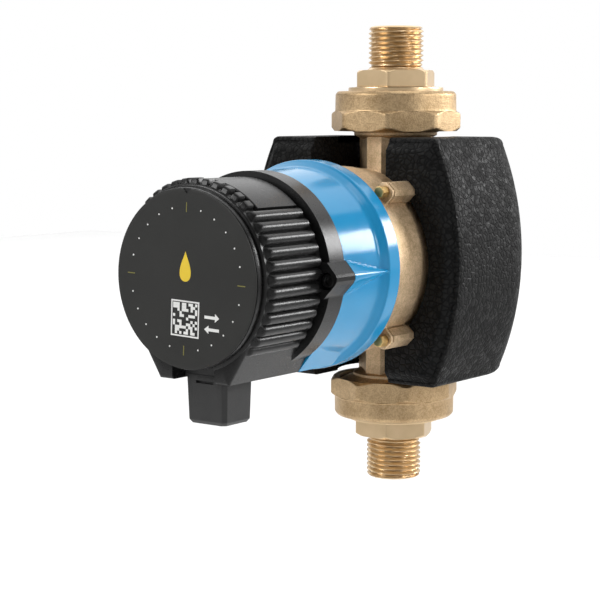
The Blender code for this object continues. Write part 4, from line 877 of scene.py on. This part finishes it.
# %% Plain signs in place of the maker's own
DROP_WIDE, DROP_TALL, DROP_UP = 3.4, 5.0, 4.2
drop_angle = np.linspace(0, 2 * pi, 48, endpoint=False)
drop = np.stack([DROP_WIDE * np.sin(drop_angle) * np.sin(drop_angle / 2) ** 1.5,
                 DROP_TALL * np.cos(drop_angle) + DROP_UP], axis=1)
ink("dial_drop", [drop], YELLOW_INK)

# The grid's filled cells are drawn from a fixed seed, so they say nothing.
CARD_X, CARD_Z, CARD, CARD_LINE, CARD_MARGIN = 0.3, -13.0, 12.0, 0.5, 0.8
CELLS = 11
pattern = np.random.default_rng(7).random((CELLS, CELLS)) < 0.5
step = (CARD - 2 * CARD_MARGIN) / CELLS
card_marks = [bar_outline(CARD_X + (i - CELLS // 2) * step, CARD_Z + (j - CELLS // 2) * step,
                          step * 0.98, step * 0.98)
              for i in range(CELLS) for j in range(CELLS) if pattern[i, j]]
edge = (CARD - CARD_LINE) / 2
frame_bars = [bar_outline(CARD_X, CARD_Z + s * edge, CARD, CARD_LINE) for s in (1, -1)]
frame_bars += [bar_outline(CARD_X + s * edge, CARD_Z, CARD_LINE, CARD - 2 * CARD_LINE) for s in (1, -1)]
ink("dial_card", card_marks + frame_bars, WHITE_INK)

ARROW = [(-3.1, 0.5), (1.3, 0.5), (1.3, 1.4), (3.1, 0.0), (1.3, -1.4), (1.3, -0.5), (-3.1, -0.5)]
ARROW_X, ARROW_UP = 11.7, -11.5
BACK_ARROW_UP = -15.5
arrows = [[(ARROW_X + x, ARROW_UP + z) for x, z in ARROW],
          [(ARROW_X - x, BACK_ARROW_UP + z) for x, z in ARROW]]
ink("dial_arrows", arrows, WHITE_INK)
print("dial marks:", len(dots), "dots and", len(ticks), "ticks")

# %% [markdown]
# ## Foam shells
# Each half is moulded foam with a bowed side. Its front carries a raised panel whose sloping border runs
# parallel to the outline. The cross-section is the bowed outline moved in by some amount, so the front is
# a profile of (move in, forward) pairs, and the rounded back is another. The channel for the pipe, the
# round room for the drum and the room for the collars are then cut away.

# %% Foam outline and shells
FOAM_SIDE_R = 98.0             # the bowed side is an arc of this radius
FOAM_CORNER = 2.2
FOAM_PARTING = 0.15            # half the gap between the two shells
FOAM_DRAFT = 0.42              # share of its width that a shell loses over the rounded back
BACK_START, BACK_DROP = -10.0, 5.0
PIPE_ROOM_R, DRUM_ROOM_R, DRUM_ROOM_REAR = 16.8, 35.4, 9.0
COLLAR_ROOM_R, COLLAR_ROOM_FROM = 21.9, 42.5


def foam_outline(side, inset, squeeze, drop, count=33):
    """Half outline (x, up): inner edge, then corner, bowed side and corner, all moved in by inset."""
    tall = FOAM_TALL - inset - drop
    up = np.linspace(-(tall - FOAM_CORNER), tall - FOAM_CORNER, count)
    bow = FOAM_WIDE - FOAM_SIDE_R + np.sqrt(FOAM_SIDE_R ** 2 - up ** 2)
    x = (bow - inset) * squeeze
    quarter = np.linspace(0, pi / 2, 6)[1:]
    top_x = x[-1] - FOAM_CORNER + FOAM_CORNER * np.cos(quarter)
    top_z = tall - FOAM_CORNER + FOAM_CORNER * np.sin(quarter)
    fill = np.linspace(1, 0, 8)[1:-1]
    run = FOAM_PARTING + (top_x[-1] - FOAM_PARTING) * fill
    xs = np.concatenate([[FOAM_PARTING], run[::-1], top_x[::-1], x, top_x, run, [FOAM_PARTING]])
    zs = np.concatenate([[-tall], -tall + 0 * run, -top_z[::-1], up, top_z, tall + 0 * run, [tall]])
    return side * xs, zs


# How far the front face has dropped at each distance in from the outline: raised panel, slope, edge.
FRONT_STEPS = [(6.0, 0.0), (4.9, 0.0), (4.5, 0.1), (4.0, 0.5), (2.2, 1.8), (1.9, 2.1), (1.7, 2.2),
               (1.4, 2.1), (0.8, 2.3), (0.25, 2.8), (0.0, 3.8)]


def foam_shell(name, side):
    """One shell: outlines stacked from the raised front panel to the rounded back, then hollowed."""
    rows = [foam_outline(side, inset, 1.0, 0.0) + (FOAM_FRONT - fall,) for inset, fall in FRONT_STEPS]
    for forward in np.linspace(FOAM_FRONT - 6, BACK_START, 12)[:-1]:
        rows.append(foam_outline(side, 0.0, 1.0, 0.0) + (forward,))
    for lean in np.linspace(0, pi / 2, 15):
        back = BACK_START - (FOAM_BACK + BACK_START) * np.sin(lean)
        fall = 1 - np.cos(lean)
        rows.append(foam_outline(side, 0.0, 1 - FOAM_DRAFT * fall, BACK_DROP * fall) + (back,))
    grid = np.stack([np.stack([x, -f + 0 * x, AXIS_UP + z], axis=-1) for x, z, f in rows], axis=1)
    ends = [np.repeat(grid[:, [k]].mean(axis=0, keepdims=True), len(grid), axis=0) for k in (0, -1)]
    grid = np.concatenate([ends[0], grid, ends[1]], axis=1)
    half = surface(name, grid, closed=False, sharp=50)
    channel = cutter_box((-PIPE_ROOM_R, 0.0, -FOAM_TALL - 3), (PIPE_ROOM_R, FOAM_FRONT + 3, FOAM_TALL + 3))
    return carve(half, channel,
                 cutter_rod(along_pipe, PIPE_ROOM_R, -FOAM_TALL - 4, FOAM_TALL + 4, steps=64),
                 cutter_rod(along_motor, DRUM_ROOM_R, DRUM_ROOM_REAR, FOAM_FRONT + 4, steps=128),
                 cutter_rod(along_pipe, COLLAR_ROOM_R, COLLAR_ROOM_FROM, FOAM_TALL + 5, steps=64),
                 cutter_rod(along_pipe, COLLAR_ROOM_R, -FOAM_TALL - 5, -COLLAR_ROOM_FROM, steps=64))


for word, side in (("right", 1), ("left", -1)):
    shell = dress(foam_shell("foam_shell_" + word, side), "insulation_" + word, FOAM)
    print(shell.name, len(shell.data.polygons), "faces")

# %% [markdown]
# ## Housing, bolts, screws and plug
# The casting's own solid has the right shape, so a welded copy of it gets rounded edges. Bolts, screws and
# the plug are treated the same way with finer bevels.

# %% Softened copies
# The housing and ring take the lighter brass, whose colour is painted light.
dress(softened("pump_housing", 0.5, 30), "pump_housing", PAINTED_LIGHT_BRASS)
dress(softened("motor_ring", 0.35, 30), "motor_ring", PAINTED_LIGHT_BRASS)
for number in range(1, 5):
    node = f"flange_bolt_{number}"
    dress(softened(node, 0.2), node, ZINC)
for word in ("left", "right"):
    node = "control_screw_" + word
    dress(softened(node, 0.15), node, BLACK_STEEL)
# The plug's slightly lighter black is painted light.
dress(softened("plug_body", 1.1, 30, 3), "plug_body", PAINTED_LIGHT_PLUG_BLACK)
dress(softened("plug_grommet", 0.2), "plug_grommet", RUBBER)

# %% [markdown]
# ## Inside pieces
# The pieces that only show when the pump is opened keep their solids. Each takes the finish its record
# slot names.

# %% Finishes for the carried-over solids
BY_SLOT = {"brass": TURNED_BRASS, "steel": STEEL, "fibre": FIBRE, "rubber": RUBBER,
           "ivory_plastic": IVORY, "ceramic": CERAMIC, "ferrite": FERRITE, "core_steel": LAMINATION,
           "copper": COPPER, "board": BOARD, "black_plastic": BLACK, "dial_grey": FACE,
           "blue_plastic": BLUE, "foam": FOAM}
slot_of = {row["node"]: row["material_slot"] for row in frame["record"]["subparts"]}
for node, piece in frame["nodes"].items():
    piece.data.materials.clear()
    piece.data.materials.append(BY_SLOT[slot_of[node]])
print("finished", len(slot_of), "solids")

# %% [markdown]
# ## Floor, light and camera
# A plain pale floor well below the pump. A broad soft light stands at the front left. One behind on the
# right draws the long highlight on the blue cup, one beside the pump reaches the brass ring, a weak one
# hangs overhead, and a wide one whitens the floor behind. The camera is at eye level with a long lens.

# %% Floor
FLOOR_UP, FLOOR_SIZE = -0.30, 8.0    # metres
bpy.ops.mesh.primitive_plane_add(size=FLOOR_SIZE, location=(0, 0, FLOOR_UP))
floor = bpy.context.object
floor.name = "floor"
paper = bpy.data.materials.new("pale paper")
paper.use_nodes = True
sheet = paper.node_tree.nodes["Principled BSDF"]
sheet.inputs["Base Color"].default_value = (0.9, 0.9, 0.9, 1)
sheet.inputs["Roughness"].default_value = 0.9
floor.data.materials.append(paper)

# %% Light
AIM = Vector((0.0, -0.045, AXIS_UP * MM))


def softbox(name, place, size, power, aim=AIM):
    """Area light that faces the pump, or another point."""
    lamp = bpy.data.lights.new(name, "AREA")
    lamp.shape = "RECTANGLE"
    lamp.size, lamp.size_y = size
    lamp.energy = power
    thing = placed(name, lamp)
    thing.location = place
    thing.rotation_euler = (Vector(aim) - Vector(place)).to_track_quat("-Z", "Y").to_euler()


softbox("key_light", (-0.55, -0.95, 0.75), (0.5, 0.5), 8.0)
softbox("right_light", (0.52, 0.75, 0.40), (0.4, 0.26), 6.5)
softbox("side_light", (0.95, 0.12, 0.42), (0.22, 0.3), 3.0)
softbox("top_light", (0.35, -0.1, 1.0), (0.4, 0.4), 1.0)
softbox("floor_light", (-2.1, 2.8, 2.2), (6.5, 6.5), 210.0, aim=(-2.1, 2.8, 0.0))

# The white fades between these sines of the angle above the horizon, to this strength.
SKY_LOW, SKY_HIGH, SKY_DIM = 0.09, 0.24, 0.18


def studio_sky():
    """White towards the horizon and dimmer overhead, so that round pieces keep dark and bright sides."""
    world = bpy.data.worlds.new("studio")
    world.use_nodes = True
    tree = world.node_tree
    back = tree.nodes["Background"]
    back.inputs["Color"].default_value = (1, 1, 1, 1)
    place = wire(tree, "ShaderNodeTexCoord")
    height = wire(tree, "ShaderNodeSeparateXYZ", {0: place.outputs["Generated"]})
    lift = wire(tree, "ShaderNodeMath", {0: height.outputs["Z"]}, operation="ABSOLUTE")
    power = wire(tree, "ShaderNodeMapRange", {"Value": lift.outputs[0], "From Min": SKY_LOW,
                                              "From Max": SKY_HIGH, "To Min": 1.0, "To Max": SKY_DIM})
    tree.links.new(power.outputs["Result"], back.inputs["Strength"])
    return world


bpy.context.scene.world = studio_sky()
bpy.context.scene.view_settings.view_transform = "Standard"

# %% Camera
LENS, SENSOR = 102.14, 36.0
LOOK_DOWN, LOOK_LEFT = 6.386, 36.857      # degrees
camera = placed("camera", bpy.data.cameras.new("camera"))
camera.data.lens = LENS
camera.data.sensor_width = SENSOR
camera.location = (0.36184, -0.54340, (AXIS_UP + 55.1) * MM)
camera.rotation_euler = (radians(90 - LOOK_DOWN), 0.0, radians(LOOK_LEFT))
bpy.context.scene.camera = camera
